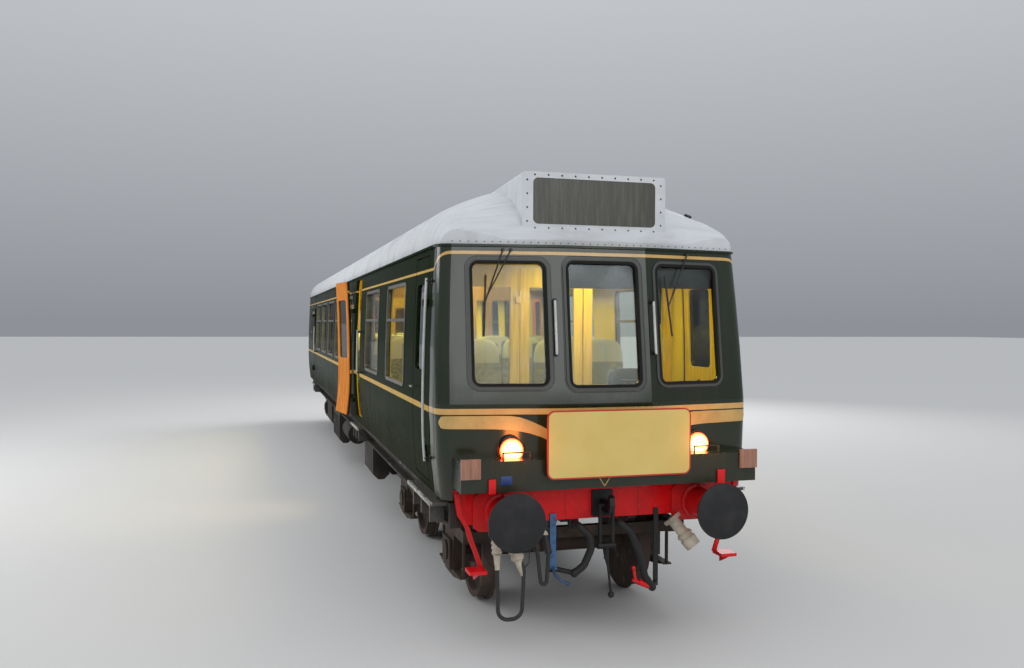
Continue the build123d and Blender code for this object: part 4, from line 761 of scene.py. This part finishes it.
# Dark rubber of the wipers, also used as the painted shade of the window grooves
GASKET_AND_GROOVE_SHADE = plain("gasket_and_groove_shade", (0.012, 0.013, 0.013), 0.4)
FRAME_ALLOY = plain("frame_alloy", (0.20, 0.19, 0.16), 0.35, 0.85)
RAIL_WHITE = plain("rail_white", (0.66, 0.66, 0.64), 0.35)
GLASS = window_glass("window_glass", (0.97, 0.98, 0.97), 0.015, 1.008)
CAB_GLASS = window_glass("cab_glass", (0.92, 0.95, 0.93), 0.06, 1.32)
INDICATOR_GLASS = indicator_glass()
BOARD = headboard_paint()
PAD_WOOD = veneer("pad_wood", (0.22, 0.10, 0.065), (0.40, 0.21, 0.14), 0.5)
RACK_METAL = plain("rack_metal", (0.45, 0.44, 0.40), 0.4, 0.6)
LINING_CREAM = plain("lining_cream", (0.78, 0.66, 0.42), 0.4, vary=0.08)
LINO = plain("lino", (0.10, 0.09, 0.08), 0.5)
DESK_GREY = plain("desk_grey", (0.10, 0.11, 0.11), 0.5)
LAMP = lamp_finish()
SALOON_GLOW = glow("saloon_glow", (1.0, 0.80, 0.42), 7.0)
PLUG_CREAM = plain("plug_cream", (0.68, 0.60, 0.47), 0.5, vary=0.3)
HOOK_BLUE = plain("hook_blue", (0.03, 0.08, 0.18), 0.45, vary=0.3)
CREAM_PAINT = plain("line_cream", CREAM, 0.3, vary=0.15)
SIGN_BLUE = plain("sign_blue", (0.02, 0.06, 0.24), 0.35)
HARNESS_BLACK = plain("fitting_black", (0.012, 0.012, 0.012), 0.45)
FIRST_CLOTH = moquette("first_cloth", (0.14, 0.15, 0.05), (0.30, 0.30, 0.12), FLOOR_Z + 0.92)
SECOND_CLOTH = moquette("second_cloth", (0.05, 0.09, 0.12), (0.16, 0.22, 0.24), FLOOR_Z + 0.90)
DRIVER_CLOTH = moquette("driver_cloth", (0.015, 0.017, 0.016), (0.045, 0.05, 0.045), None)

GLAZED_WALLS = [PARTITIONS[k] + PARTITION / 2 for k in range(3)]
LEAF_MIDDLE = 0.022
REAR_WALL = 0.06
WOOD = (WOOD_DARK, WOOD_LIGHT)
YELLOW = (YELLOW_DARK, LINING_YELLOW)
UPPER_YELLOW = (YELLOW_DARK, YELLOW_LIGHT)
WALL_WOOD = wall_panels(
    "partition_wood",
    GLAZED_WALLS,
    (SALOON_DOOR_HALF + GLAZED_STILE, PARTITION_HALF - GLAZED_STILE),
    WOOD,
    ((0.36, 0.20, 0.018), (0.52, 0.32, 0.035)),
)
BULKHEAD_YELLOW = wall_panels(
    "bulkhead_yellow",
    (CAB_LENGTH + PARTITION / 2,),
    (GANGWAY_HALF + GLAZED_STILE, PARTITION_HALF - GLAZED_STILE),
    YELLOW,
    UPPER_YELLOW,
)
LEAF_YELLOW = wall_panels(
    "leaf_yellow",
    (CAB_LENGTH + LEAF_MIDDLE, BODY_LENGTH - REAR_WALL + LEAF_MIDDLE),
    (-1.0, 0.23),
    YELLOW,
    UPPER_YELLOW,
)

PANE_Z = (2.08, 2.93)
CAB_PANE_Z = (2.19, 2.94)
DOOR_PAINTS = {}
for name, v_hinge, forward, width, low, high, inner in (
    ("cab_door", CAB_DOOR[0], 1, CAB_DOOR[1] - CAB_DOOR[0], *CAB_PANE_Z, YELLOW),
    ("door_front", PASSENGER_DOORS[0] + PASSENGER_DOOR_WIDTH, -1, PASSENGER_DOOR_WIDTH, *PANE_Z, WOOD),
    ("door_rear", PASSENGER_DOORS[1], 1, PASSENGER_DOOR_WIDTH, *PANE_Z, WOOD),
):
    DOOR_PAINTS[name] = door_paint(f"{name}_paint", v_hinge, forward, width, low, high, inner)
    if name == "door_front":
        DOOR_PAINTS["door_front_left"] = door_paint(
            "door_open_paint", v_hinge, forward, width, low, high, inner, OPEN_ANGLE
        )


def finish_node(name, material):
    """Gives a CAD node its material."""
    mesh = nodes[name].data
    mesh.materials.clear()
    mesh.materials.append(material)


NODE_FINISHES = {
    BODY_SIDE: ("body_side_left", "body_side_right"),
    CAB_SHELL: ("cab_front",),
    PAINT: ("rear_end",),
    FAIRING_PAINT: ("fairing",),
    ROOF: ("roof",),
    DOME: ("cab_dome", "roof_vents"),
    BEAM_RED: ("front_beam",),
    RED_PAINT: ("rear_beam",),
    STEP_RED: ("footsteps",),
    BUFFER_PAINT: ("buffers_front", "buffers_rear"),
    FRAME_BLACK: ("underframe", "engines", "radiators", "equipment_boxes", "exhausts"),
    RUNNING_BLACK: ("bogie_front", "bogie_rear"),
    COUPLING_STEEL: ("coupling_front", "coupling_rear"),
    RUBBER: ("gangway",),
    HOSE: ("brake_hoses",),
    JUMPER: ("jumper_cables",),
    CAB_SEAL: ("cab_window_seals",),
    GASKET_AND_GROOVE_SHADE: ("wipers",),
    FRAME_ALLOY: ("window_frames_left", "window_frames_right"),
    GLASS: ("side_windows_left", "side_windows_right"),
    CAB_GLASS: ("cab_windows",),
    INDICATOR_GLASS: ("headcode_panel",),
    BOARD: ("headboard",),
    PAD_WOOD: ("corner_pads",),
    RACK_METAL: ("luggage_racks",),
    RAIL_WHITE: ("handrails",),
    LAMP: ("marker_lamps",),
    BULKHEAD_YELLOW: ("cab_bulkhead",),
    LEAF_YELLOW: ("cab_inner_door", "gangway_door"),
    WALL_WOOD: ("partitions",),
    LINING_CREAM: ("lavatory", "seats_first", "seats_second", "driver_seat"),
    LINO: ("floor",),
    DESK_GREY: ("cab_desk",),
}
for material, names in NODE_FINISHES.items():
    for name in names:
        finish_node(name, material)
for name in nodes:
    if name.startswith("wheelset"):
        finish_node(name, WHEEL_STEEL)
    for start, paint in DOOR_PAINTS.items():
        if name.startswith(start):
            finish_node(name, paint)


# Modelling, in bmesh operators


def finished(name, bm, material, body="coach", smooth=35):
    """Closes a bmesh into a piece that rides on a body."""
    bmesh.ops.remove_doubles(bm, verts=bm.verts, dist=0.00005)
    bmesh.ops.recalc_face_normals(bm, faces=bm.faces)
    mesh = bpy.data.meshes.new(name)
    bm.to_mesh(mesh)
    bm.free()
    mesh.materials.append(material)
    mesh.shade_smooth()
    mesh.set_sharp_from_angle(angle=radians(smooth))
    piece = bpy.data.objects.new(name, mesh)
    bpy.context.scene.collection.objects.link(piece)
    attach(piece, body)
    return piece


def block(bm, xs, vs, zs, bevel):
    """Box with softened edges between pairs of x, v and z."""
    verts = bmesh.ops.create_cube(bm, size=1)["verts"]
    spans = (xs, [at(v) for v in vs], zs)
    bmesh.ops.scale(bm, vec=[abs(b - a) for a, b in spans], verts=verts)
    bmesh.ops.translate(bm, vec=[(a + b) / 2 for a, b in spans], verts=verts)
    edges = list({edge for vert in verts for edge in vert.link_edges})
    bmesh.ops.bevel(bm, geom=edges, offset=bevel, segments=2, profile=0.5, affect="EDGES", material=-1)


def rod(bm, start, end, radius, sides=12, tip=None):
    """Round bar from start to end, with its far radius if it tapers."""
    start, end = Vector(start), Vector(end)
    along = end - start
    turned = along.to_track_quat("Z", "Y").to_matrix().to_4x4()
    bmesh.ops.create_cone(
        bm,
        cap_ends=True,
        segments=sides,
        radius1=radius,
        radius2=radius if tip is None else tip,
        depth=along.length,
        matrix=Matrix.Translation((start + end) / 2) @ turned,
    )


def ball(bm, spot, radius, squash=1.0, normal=(0, 0, 1), sides=8):
    """Low dome: a ball flattened along its normal."""
    turned = Vector(normal).to_track_quat("Z", "Y").to_matrix().to_4x4()
    matrix = Matrix.Translation(spot) @ turned @ Matrix.Diagonal((1, 1, squash, 1))
    bmesh.ops.create_uvsphere(
        bm, u_segments=sides, v_segments=max(4, sides // 2), radius=radius, matrix=matrix
    )


def bent_bar(bm, points, radius):
    """Round bar through points, with ball corners."""
    for start, end in zip(points, points[1:]):
        rod(bm, start, end, radius, 10)
    for point in points[1:-1]:
        ball(bm, point, radius * 1.02, sides=10)


def drawn_bar(bm, points, radius, sides=12):
    """Round bar drawn through points in one closed skin."""
    points = [Vector(point) for point in points]
    ways = [(b - a).normalized() for a, b in zip(points, points[1:])]
    turned = ways[0].to_track_quat("Z", "Y").to_matrix().to_4x4()
    ring = bmesh.ops.create_circle(
        bm, cap_ends=True, segments=sides, radius=radius, matrix=Matrix.Translation(points[0]) @ turned
    )["verts"]
    face = ring[0].link_faces[0]
    for k in range(1, len(points)):
        geom = bmesh.ops.extrude_face_region(bm, geom=[face])["geom"]
        face = next(part for part in geom if isinstance(part, bmesh.types.BMFace))
        verts = list(face.verts)
        bmesh.ops.translate(bm, vec=points[k] - points[k - 1], verts=verts)
        if k < len(ways):
            bend = ways[k - 1].rotation_difference(ways[k]).to_matrix()
            bmesh.ops.rotate(bm, cent=points[k], matrix=bend, verts=verts)


def seated(node, spot):
    """The nearest place on a CAD node's surface, and its normal."""
    _, place, normal, _ = nodes[node].closest_point_on_mesh(Vector(spot))
    return place, normal


def between_rows(rows, place):
    """Low and high edge at a place, read between the rows of (place, low, high)."""
    for (s0, low0, high0), (s1, low1, high1) in zip(rows, rows[1:]):
        if s0 <= place <= s1:
            share = (place - s0) / (s1 - s0)
            return low0 + (low1 - low0) * share, high0 + (high1 - high0) * share
    return rows[-1][1:]


def skin_band(bm, rows, side):
    """Thin strip on the cab's skin whose edges follow rows of (s, low, high)."""
    made = bmesh.ops.create_grid(bm, x_segments=48, y_segments=2, size=0.5)
    verts = made["verts"]
    start, end = rows[0][0], rows[-1][0]
    for vert in verts:
        place = start + (vert.co.x + 0.5) * (end - start)
        low, high = between_rows(rows, place)
        vert.co = skin_point(side * place, low + (vert.co.y + 0.5) * (high - low), 0.0018)
    faces = list({face for vert in verts for face in vert.link_faces})
    bmesh.ops.recalc_face_normals(bm, faces=faces)
    bmesh.ops.solidify(bm, geom=faces, thickness=0.004)


# Cream whiskers that run from the corners down to the nose

WHISKER = (
    (0.30, 1.520, 1.578),
    (0.42, 1.612, 1.690),
    (0.557, 1.682, 1.771),
    (0.66, 1.716, 1.818),
    (0.74, 1.732, 1.846),
    (0.82, 1.743, 1.856),
    (0.94, 1.750, 1.858),
    (1.10, 1.752, 1.857),
    (1.34, 1.755, 1.857),
    (1.375, 1.759, 1.853),
    (1.392, 1.772, 1.840),
    (1.400, 1.795, 1.817),
)
bm = bmesh.new()
for side in SIDES.values():
    skin_band(bm, WHISKER, side)
finished("front_whiskers", bm, CREAM_PAINT)

# Small chevron on the fairing under the headboard
chevron_y = FAIRING_FRONT - 0.001
bm = bmesh.new()
for x in (-0.150, -0.030):
    rod(bm, (x, chevron_y, 1.392), (-0.090, chevron_y, 1.302), 0.0045, 6)
finished("nose_chevron", bm, CREAM_PAINT)

# Thin dark strips along the groove pressed round each cab window: painted shade of the groove, laid on the
# skin

GROOVE_OUT = 0.040
GROOVE_CORNER = 0.11
GROOVE_WIDTH = 0.009
bm = bmesh.new()
for middle, width, low, high in CAB_PANES:
    side = -1 if middle < 0 else 1
    ring = bmesh.ops.create_circle(bm, cap_ends=True, segments=40, radius=GROOVE_CORNER)["verts"]
    spread_x = width / 2 + GROOVE_OUT - GROOVE_CORNER
    spread_z = (high - low) / 2 + GROOVE_OUT - GROOVE_CORNER
    for vert in ring:
        vert.co.x += spread_x if vert.co.x > 0 else -spread_x
        vert.co.y += spread_z if vert.co.y > 0 else -spread_z
    face = ring[0].link_faces[0]
    bmesh.ops.inset_region(
        bm, faces=[face], use_boundary=True, use_even_offset=True, thickness=GROOVE_WIDTH
    )
    bmesh.ops.delete(bm, geom=[face], context="FACES_ONLY")
    for vert in [vert for vert in bm.verts if vert.co.z == 0]:
        s = side * (middle + vert.co.x)
        if middle:
            s = CENTRE_HALF + (s - CENTRE_HALF) / cos(FACET_ANGLE)
        vert.co = skin_point(side * s, vert.co.y + (low + high) / 2, 0.0012)
faces = list(bm.faces)
bmesh.ops.recalc_face_normals(bm, faces=faces)
bmesh.ops.solidify(bm, geom=faces, thickness=0.003)
# The dark strips are painted shade standing in for the grooves
finished("window_groove_shade", bm, GASKET_AND_GROOVE_SHADE)

# Rivets round the indicator glass and along the foot of the dome

PANEL_PITCH = (0.12, 0.115)
DOME_PITCH = 0.066
bm = bmesh.new()
panel_low, panel_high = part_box("headcode_panel")
edge_x = (panel_high.x - panel_low.x) / 2 + 0.052
row_z = (panel_low.z - 0.028, panel_high.z + 0.024)
column_z = [panel_low.z + 0.02 + PANEL_PITCH[1] * k for k in range(4)]
spots = [(PANEL_PITCH[0] * (k - 4.5), z) for k in range(10) for z in row_z]
spots += [(side * edge_x, z) for side in SIDES.values() for z in column_z]
for x, z in spots:
    place, normal = seated("cab_dome", (x, panel_low.y - 0.02, z))
    ball(bm, place, 0.0085, 0.45, normal)
finished("indicator_rivets", bm, COUPLING_STEEL)
bm = bmesh.new()
for k in range(-19, 20):
    spot = skin_point(k * DOME_PITCH, CANT_Z)
    place, normal = seated("cab_dome", spot + Vector((0, 0, 0.022)))
    ball(bm, place, 0.0055, 0.5, normal)
finished("dome_rivets", bm, COUPLING_STEEL)

# Lamp glasses, standing lower than their housings and cut off by the fairing's ledge
ledge_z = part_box("fairing")[1].z
bm = bmesh.new()
for side in SIDES.values():
    ball(bm, spot_at(side * LAMP_X, -0.004, LAMP_GLASS_Z), LAMP_GLASS_RADIUS, 0.25, (0, -1, 0), sides=36)
everything = bm.verts[:] + bm.edges[:] + bm.faces[:]
bmesh.ops.bisect_plane(
    bm, geom=everything, plane_co=(0, 0, ledge_z + 0.0005), plane_no=(0, 0, -1), clear_outer=True
)
bmesh.ops.holes_fill(bm, edges=[edge for edge in bm.edges if edge.is_boundary])
finished("lamp_glasses", bm, lamp_glass(), smooth=60)

# Guard rails before the lamps
GUARD_HALF = 0.112
guard_y = FAIRING_FRONT + 0.012
foot, top = ledge_z - 0.012, ledge_z + 0.062
bm = bmesh.new()
for side in SIDES.values():
    near, far = side * LAMP_X - GUARD_HALF, side * LAMP_X + GUARD_HALF
    bends = ((near, foot), (near, top), (far, top), (far, foot))
    bent_bar(bm, [(x, guard_y, z) for x, z in bends], 0.0065)
finished("lamp_guards", bm, HARNESS_BLACK)

# Handrails: white bars on black studs, two on the cab front and three on each side

RAIL_R = 0.011
RAIL_OFF = 0.048
STUD_LIFTS = (RAIL_OFF + 0.004, -0.01)
FRONT_RAIL_S = 0.43
FRONT_RAIL_Z = (2.35, 2.79)
SIDE_RAILS = ((0.52, 1.45, 2.975), *((v - 0.11, 1.90, 2.50) for v in PASSENGER_DOORS))


def side_point(side, v, z, lift):
    """Point off the body side's skin."""
    return spot_at(side * (half(z) + lift), v, z)


bars, studs = bmesh.new(), bmesh.new()
for side in SIDES.values():
    s = side * FRONT_RAIL_S
    low, high = FRONT_RAIL_Z
    drawn_bar(bars, [skin_point(s, z, RAIL_OFF) for z in FRONT_RAIL_Z], RAIL_R)
    for z in (low + 0.005, high - 0.005):
        end, root = (skin_point(s, z, lift) for lift in STUD_LIFTS)
        rod(studs, end, root, 0.013)
        rod(studs, skin_point(s, z, 0.006), root, 0.024, 16)
    for v, low, high in SIDE_RAILS:
        levels = [low + (high - low) * k / 12 for k in range(13)]
        drawn_bar(bars, [side_point(side, v, z, RAIL_OFF) for z in levels], RAIL_R)
        for z in (low + 0.022, high - 0.022):
            end, root = (side_point(side, v, z, lift) for lift in STUD_LIFTS)
            rod(studs, end, root, 0.012)
            rod(studs, side_point(side, v, z, 0.005), root, 0.022, 16)
rail_bars = finished("handrail_bars", bars, RAIL_WHITE)
rail_studs = finished("handrail_studs", studs, HARNESS_BLACK)
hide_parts("handrails")
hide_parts("handrails")


def ribbed(bm, start, end, radius, ribs, sides=18):
    """Sleeve with raised rings along it."""
    start, end = Vector(start), Vector(end)
    rod(bm, start, end, radius, sides)
    for k in range(ribs):
        middle = start.lerp(end, (k + 0.5) / ribs)
        half_rib = (end - start) * (0.22 / ribs)
        rod(bm, middle - half_rib, middle + half_rib, radius * 1.16, sides)


# Cream plugs on the jumper loops, and the big ribbed coupling beside the right buffer

bm = bmesh.new()
ribbed(bm, (-0.932, at(0.045), 0.865), (-0.936, at(0.0), 0.76), 0.036, 3)
rod(bm, (-0.936, at(0.0), 0.76), (-0.938, at(-0.02), 0.645), 0.030, 16, 0.019)
ribbed(bm, (-0.775, at(0.055), 0.79), (-0.752, at(0.02), 0.70), 0.048, 2)
rod(bm, (-0.752, at(0.02), 0.70), (-0.722, at(-0.015), 0.585), 0.034, 16, 0.019)
rod(bm, (0.628, at(0.102), 0.952), (0.646, at(0.090), 0.927), 0.082, 4)
rod(bm, (0.640, at(0.094), 0.935), (0.722, at(0.043), 0.820), 0.050, 20)
ribbed(bm, (0.715, at(0.047), 0.830), (0.762, at(0.018), 0.763), 0.060, 2, 22)
rod(bm, (0.750, at(0.026), 0.780), (0.790, at(0.001), 0.724), 0.071, 22, 0.066)
finished("jumper_plugs", bm, PLUG_CREAM)

# Thin guard wires that hang beside the plugs
bm = bmesh.new()
for wire in (
    ((-1.02, 0.10, 0.86), (-1.035, 0.02, 0.80), (-1.01, -0.02, 0.70), (-0.96, -0.02, 0.665)),
    ((-0.70, 0.10, 0.86), (-0.66, 0.02, 0.79), (-0.675, -0.02, 0.69), (-0.715, -0.02, 0.64)),
):
    drawn_bar(bm, [spot_at(*bend) for bend in wire], 0.004, 8)
finished("plug_chains", bm, COUPLING_STEEL)

# Red cock and blue hook at the feet of the brake hoses
bm = bmesh.new()
rod(bm, (0.30, at(0.03), 0.445), (0.395, at(0.036), 0.405), 0.026, 16)
rod(bm, (0.235, at(0.0), 0.475), (0.30, at(0.02), 0.445), 0.014, 12)
rod(bm, (0.240, at(0.0), 0.575), (0.262, at(0.006), 0.455), 0.012, 12)
ball(bm, (0.240, at(0.0), 0.575), 0.018, sides=12)
finished("brake_cock", bm, RED_PAINT)
hook = ((-0.43, 0.10, 0.60), (-0.428, 0.06, 0.55), (-0.38, 0.03, 0.50), (-0.31, 0.02, 0.47))
bm = bmesh.new()
drawn_bar(bm, [spot_at(*bend) for bend in hook], 0.013, 10)
finished("hose_hook", bm, HOOK_BLUE)

# Blank plate on the fairing
plate_v = FAIRING_FRONT - NOSE
bm = bmesh.new()
block(bm, (-0.955, -0.862), (plate_v - 0.005, plate_v + 0.006), (1.345, 1.412), 0.002)
finished("fairing_plate", bm, SIGN_BLUE)

# Blank destination blind behind the centre window, and the hood over the driver's window
bm = bmesh.new()
block(bm, (-0.36, 0.36), (0.215, 0.33), (2.90, 3.17), 0.008)
finished("blind_box", bm, HARNESS_BLACK)
bm = bmesh.new()
block(bm, (0.50, 1.13), (0.27, 0.42), (2.915, 3.13), 0.01)
block(bm, (0.56, 0.60), (0.26, 0.30), (2.60, 2.92), 0.004)
finished("driver_hood", bm, HARNESS_BLACK)

# Ceiling lamps down the middle of the roof
CEILING_LAMPS = (2.0, 3.2, 4.4, PARTITIONS[0] + 0.48, PARTITIONS[2] + 0.48, *BAY_MIDDLES)
bm = bmesh.new()
for v in CEILING_LAMPS:
    ball(bm, spot_at(0, v, CANT_Z + ROOF_RISE - 0.095), 0.13, 0.42, sides=20)
finished("ceiling_lamps", bm, SALOON_GLOW)


# Seats: crowned cushions on frames

PAD_GAP = 0.012


def pad(bm, centre, size, tilt, crown, pull, round_top=0.0):
    """Crowned cushion: thick in the middle, its sides drawn in between the corners."""
    before = len(bm.verts)
    made = bmesh.ops.create_cube(bm, size=2)["verts"]
    edges = list({edge for vert in made for edge in vert.link_edges})
    bmesh.ops.subdivide_edges(bm, edges=edges, cuts=7, use_grid_fill=True)
    verts = list(bm.verts)[before:]
    for vert in verts:
        a, b, c = vert.co
        reach = max(abs(a), abs(b), abs(c))
        norm = (abs(a) ** 5 + abs(b) ** 5 + abs(c) ** 5) ** 0.2
        a, b, c = (part * reach / norm for part in (a, b, c))
        b *= 1 + crown * (1 - a * a) * (1 - c * c)
        a *= 1 - pull * (1 - c * c)
        c *= 1 - pull * (1 - a * a) if c < 0 else 1
        if round_top and c > 0:
            c *= 1 - round_top * a**4
        vert.co = (a * size[0] / 2, b * size[1] / 2, c * size[2] / 2)
    bmesh.ops.rotate(bm, cent=(0, 0, 0), matrix=Matrix.Rotation(tilt, 3, "X"), verts=verts)
    bmesh.ops.translate(bm, vec=centre, verts=verts)


def seat_run(soft, hard, x0, x1, places, v, facing, depth, height):
    """A bench of so many places whose back stands at v, on its frame."""
    each = (x1 - x0) / places
    for k in range(places):
        x = x0 + each * (k + 0.5)
        pad(
            soft,
            (x, at(v + facing * (depth / 2 + 0.05)), FLOOR_Z + 0.375),
            (each - PAD_GAP, depth - 0.10, 0.16),
            facing * radians(3.5),
            0.0,
            0.02,
        )
        pad(
            soft,
            (x, at(v + facing * 0.088), FLOOR_Z + height - 0.37),
            (each - PAD_GAP, 0.135, 0.735),
            facing * radians(4.5),
            0.10,
            0.04,
            0.16,
        )
    base = sorted((v + facing * 0.06, v + facing * (depth - 0.09)))
    block(hard, (x0 + 0.02, x1 - 0.02), base, (FLOOR_Z, FLOOR_Z + 0.28), 0.012)
    shell = sorted((v + facing * 0.002, v + facing * 0.03))
    block(hard, (x0 + 0.01, x1 - 0.01), shell, (FLOOR_Z + 0.02, FLOOR_Z + height - 0.05), 0.012)


SEAT_OUT = PARTITION_HALF - 0.014
SEAT_GAP = 0.012
BAY_STARTS = [PARTITIONS[1] + PARTITION + SEAT_GAP + BAY * k for k in range(BAYS)]
FIRST_ROWS = [(v, -1) for v in (2.75, 4.06, 5.37)]
SECOND_ROWS = [row for start in BAY_STARTS for row in ((start, 1), (start + BAY - SEAT_GAP, -1))]
SALOONS = (
    ("first", FIRST_ROWS, ((-SEAT_OUT, -0.19, 2), (0.19, SEAT_OUT, 2)), 0.62, 1.18, FIRST_CLOTH),
    ("second", SECOND_ROWS, ((-SEAT_OUT, 0.02, 3), (0.41, SEAT_OUT, 2)), 0.58, 1.12, SECOND_CLOTH),
)
for saloon, rows, benches, depth, height, cloth in SALOONS:
    soft, hard = bmesh.new(), bmesh.new()
    for v, facing in rows:
        for x0, x1, places in benches:
            seat_run(soft, hard, x0, x1, places, v, facing, depth, height)
    cushions = finished(f"{saloon}_cushions", soft, cloth, smooth=180)
    frames = finished(f"{saloon}_seat_frames", hard, DESK_GREY)
    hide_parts(f"seats_{saloon}")
    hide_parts(f"seats_{saloon}")

soft, hard = bmesh.new(), bmesh.new()
seat_low, seat_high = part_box("driver_seat")
seat_x = (seat_low.x + seat_high.x) / 2
seat_y = (seat_low.y + seat_high.y) / 2
back = (seat_x, seat_high.y - 0.045, FLOOR_Z + 0.70)
foot = (seat_x, seat_y, FLOOR_Z)
pad(soft, (seat_x, seat_y - 0.03, FLOOR_Z + 0.445), (0.45, 0.40, 0.09), 0.0, 0.0, 0.03)
pad(soft, back, (0.42, 0.075, 0.44), radians(-5), 0.2, 0.04, 0.12)
rod(hard, foot, (seat_x, seat_y, FLOOR_Z + 0.40), 0.055, 20)
rod(hard, foot, (seat_x, seat_y, FLOOR_Z + 0.02), 0.18, 28)
driver_pad = finished("driver_cushions", soft, DRIVER_CLOTH, smooth=180)
driver_frame = finished("driver_seat_stand", hard, FRAME_BLACK)
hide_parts("driver_seat")
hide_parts("driver_seat")

# Driver's controls on the desk
DESK_Z = 1.96
DIAL_PITCH = 0.11
bm = bmesh.new()
for x, v, tall in ((0.35, 0.36, 0.14), (0.92, 0.38, 0.12)):
    top = DESK_Z + tall
    rod(bm, (x, at(v), DESK_Z - 0.05), (x, at(v), top), 0.035, 18, 0.028)
    rod(bm, (x - 0.07, at(v + 0.02), top + 0.008), (x + 0.09, at(v - 0.03), top + 0.008), 0.009, 10)
    ball(bm, (x + 0.09, at(v - 0.03), top + 0.012), 0.02, sides=12)
for k in range(4):
    x = 0.47 + DIAL_PITCH * k
    rod(bm, (x, at(0.29), DESK_Z + 0.02), (x, at(0.345), DESK_Z + 0.10), 0.045, 22)
finished("desk_controls", bm, HARNESS_BLACK)

# Welded seams across the roof

ROOF_SHEETS = 9
SEAM_STEPS = 28
SEAM_PROUD = 1.05
roof_low, roof_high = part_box("roof")
arch = [pi * k / SEAM_STEPS for k in range(1, SEAM_STEPS)]
bm = bmesh.new()
for k in range(1, ROOF_SHEETS):
    y = roof_low.y + (roof_high.y - roof_low.y) * k / ROOF_SHEETS
    spots = [(-CANT_HALF * cos(a) * SEAM_PROUD, y, CANT_Z + ROOF_RISE * sin(a) * SEAM_PROUD) for a in arch]
    drawn_bar(bm, [seated("roof", spot)[0] for spot in spots], 0.005, 6)
finished("roof_seams", bm, DOME)

# Small catch on the right of the dome
bm = bmesh.new()
place, normal = seated("cab_dome", (1.10, at(0.75), 3.62))
block(bm, (-0.05, 0.05), (-NOSE - 0.035, -NOSE + 0.035), (-0.01, 0.022), 0.008)
bmesh.ops.rotate(
    bm, cent=(0, 0, 0), matrix=normal.to_track_quat("Z", "Y").to_matrix(), verts=bm.verts
)
bmesh.ops.translate(bm, vec=place, verts=bm.verts)
finished("roof_fitting", bm, HARNESS_BLACK)


# Studio: pale floor, pale surroundings and soft lamps

FLOOR_SIZE = 300.0
floor_mesh = bpy.data.meshes.new("studio_floor")
floor_bm = bmesh.new()
bmesh.ops.create_grid(floor_bm, x_segments=1, y_segments=1, size=FLOOR_SIZE / 2)
floor_bm.to_mesh(floor_mesh)
floor_bm.free()
studio_floor = bpy.data.objects.new("studio_floor", floor_mesh)
bpy.context.scene.collection.objects.link(studio_floor)
floor_finish = Finish("studio_floor", Roughness=0.9, Specular_IOR_Level=0.1)
floor_finish.set(Base_Color=(0.62, 0.62, 0.61, 1.0))
floor_mesh.materials.append(floor_finish.material)

HORIZON = (0.27, 0.285, 0.31, 1.0)
ZENITH = (0.86, 0.88, 0.92, 1.0)
world = bpy.data.worlds.new("studio")
bpy.context.scene.world = world
world.use_nodes = True
sky = world.node_tree
background = sky.nodes["Background"]
direction = sky.nodes.new("ShaderNodeTexCoord")
heights = sky.nodes.new("ShaderNodeSeparateXYZ")
shade = sky.nodes.new("ShaderNodeValToRGB")
stops = shade.color_ramp.elements
stops[0].position, stops[0].color = 0.0, HORIZON
stops[1].position, stops[1].color = 0.75, ZENITH
sky.links.new(direction.outputs["Generated"], heights.inputs[0])
sky.links.new(heights.outputs["Z"], shade.inputs[0])
sky.links.new(shade.outputs["Color"], background.inputs["Color"])


def area_lamp(name, spot, aim, size, power, colour=(1, 1, 1)):
    data = bpy.data.lights.new(name, "AREA")
    data.shape = "RECTANGLE"
    data.size, data.size_y = size
    data.energy = power
    data.color = colour
    lamp = bpy.data.objects.new(name, data)
    lamp.location = spot
    lamp.rotation_euler = (Vector(aim) - Vector(spot)).to_track_quat("-Z", "Y").to_euler()
    bpy.context.scene.collection.objects.link(lamp)


WARM = (1.0, 0.80, 0.24)
AMBER = (1.0, 0.28, 0.05)
for name, side in SIDES.items():
    x = side * LAMP_X
    area_lamp(f"lamp_light_{name}", (x, at(-0.34), 1.66), (x, at(0), 1.66), (0.12, 0.12), 1.2, AMBER)
area_lamp("front_softbox", (1.8, at(-15.0), 7.6), (0.6, at(0), 2.6), (12.0, 6.0), 620)
area_lamp("side_lamp", (-12.0, at(8.0), 7.0), (0, at(7.0), 2.0), (10.0, 4.0), 600)
area_lamp("rear_lamp", (9.0, at(20.0), 9.0), (0, at(12.0), 2.0), (8.0, 5.0), 900)
area_lamp("first_saloon_lamp", (0, at(3.4), 3.60), (0, at(3.4), 1.5), (1.2, 3.2), 46, WARM)
area_lamp("vestibule_lamp", (0, at(5.98), 3.60), (0, at(5.98), 1.5), (1.0, 0.6), 28, WARM)
area_lamp("second_saloon_lamp", (0, at(10.5), 3.60), (0, at(10.5), 1.5), (1.2, 7.4), 190, WARM)
area_lamp("cab_lamp", (0.3, at(0.95), 3.19), (0.3, at(0.95), 1.5), (0.9, 0.5), 20, WARM)
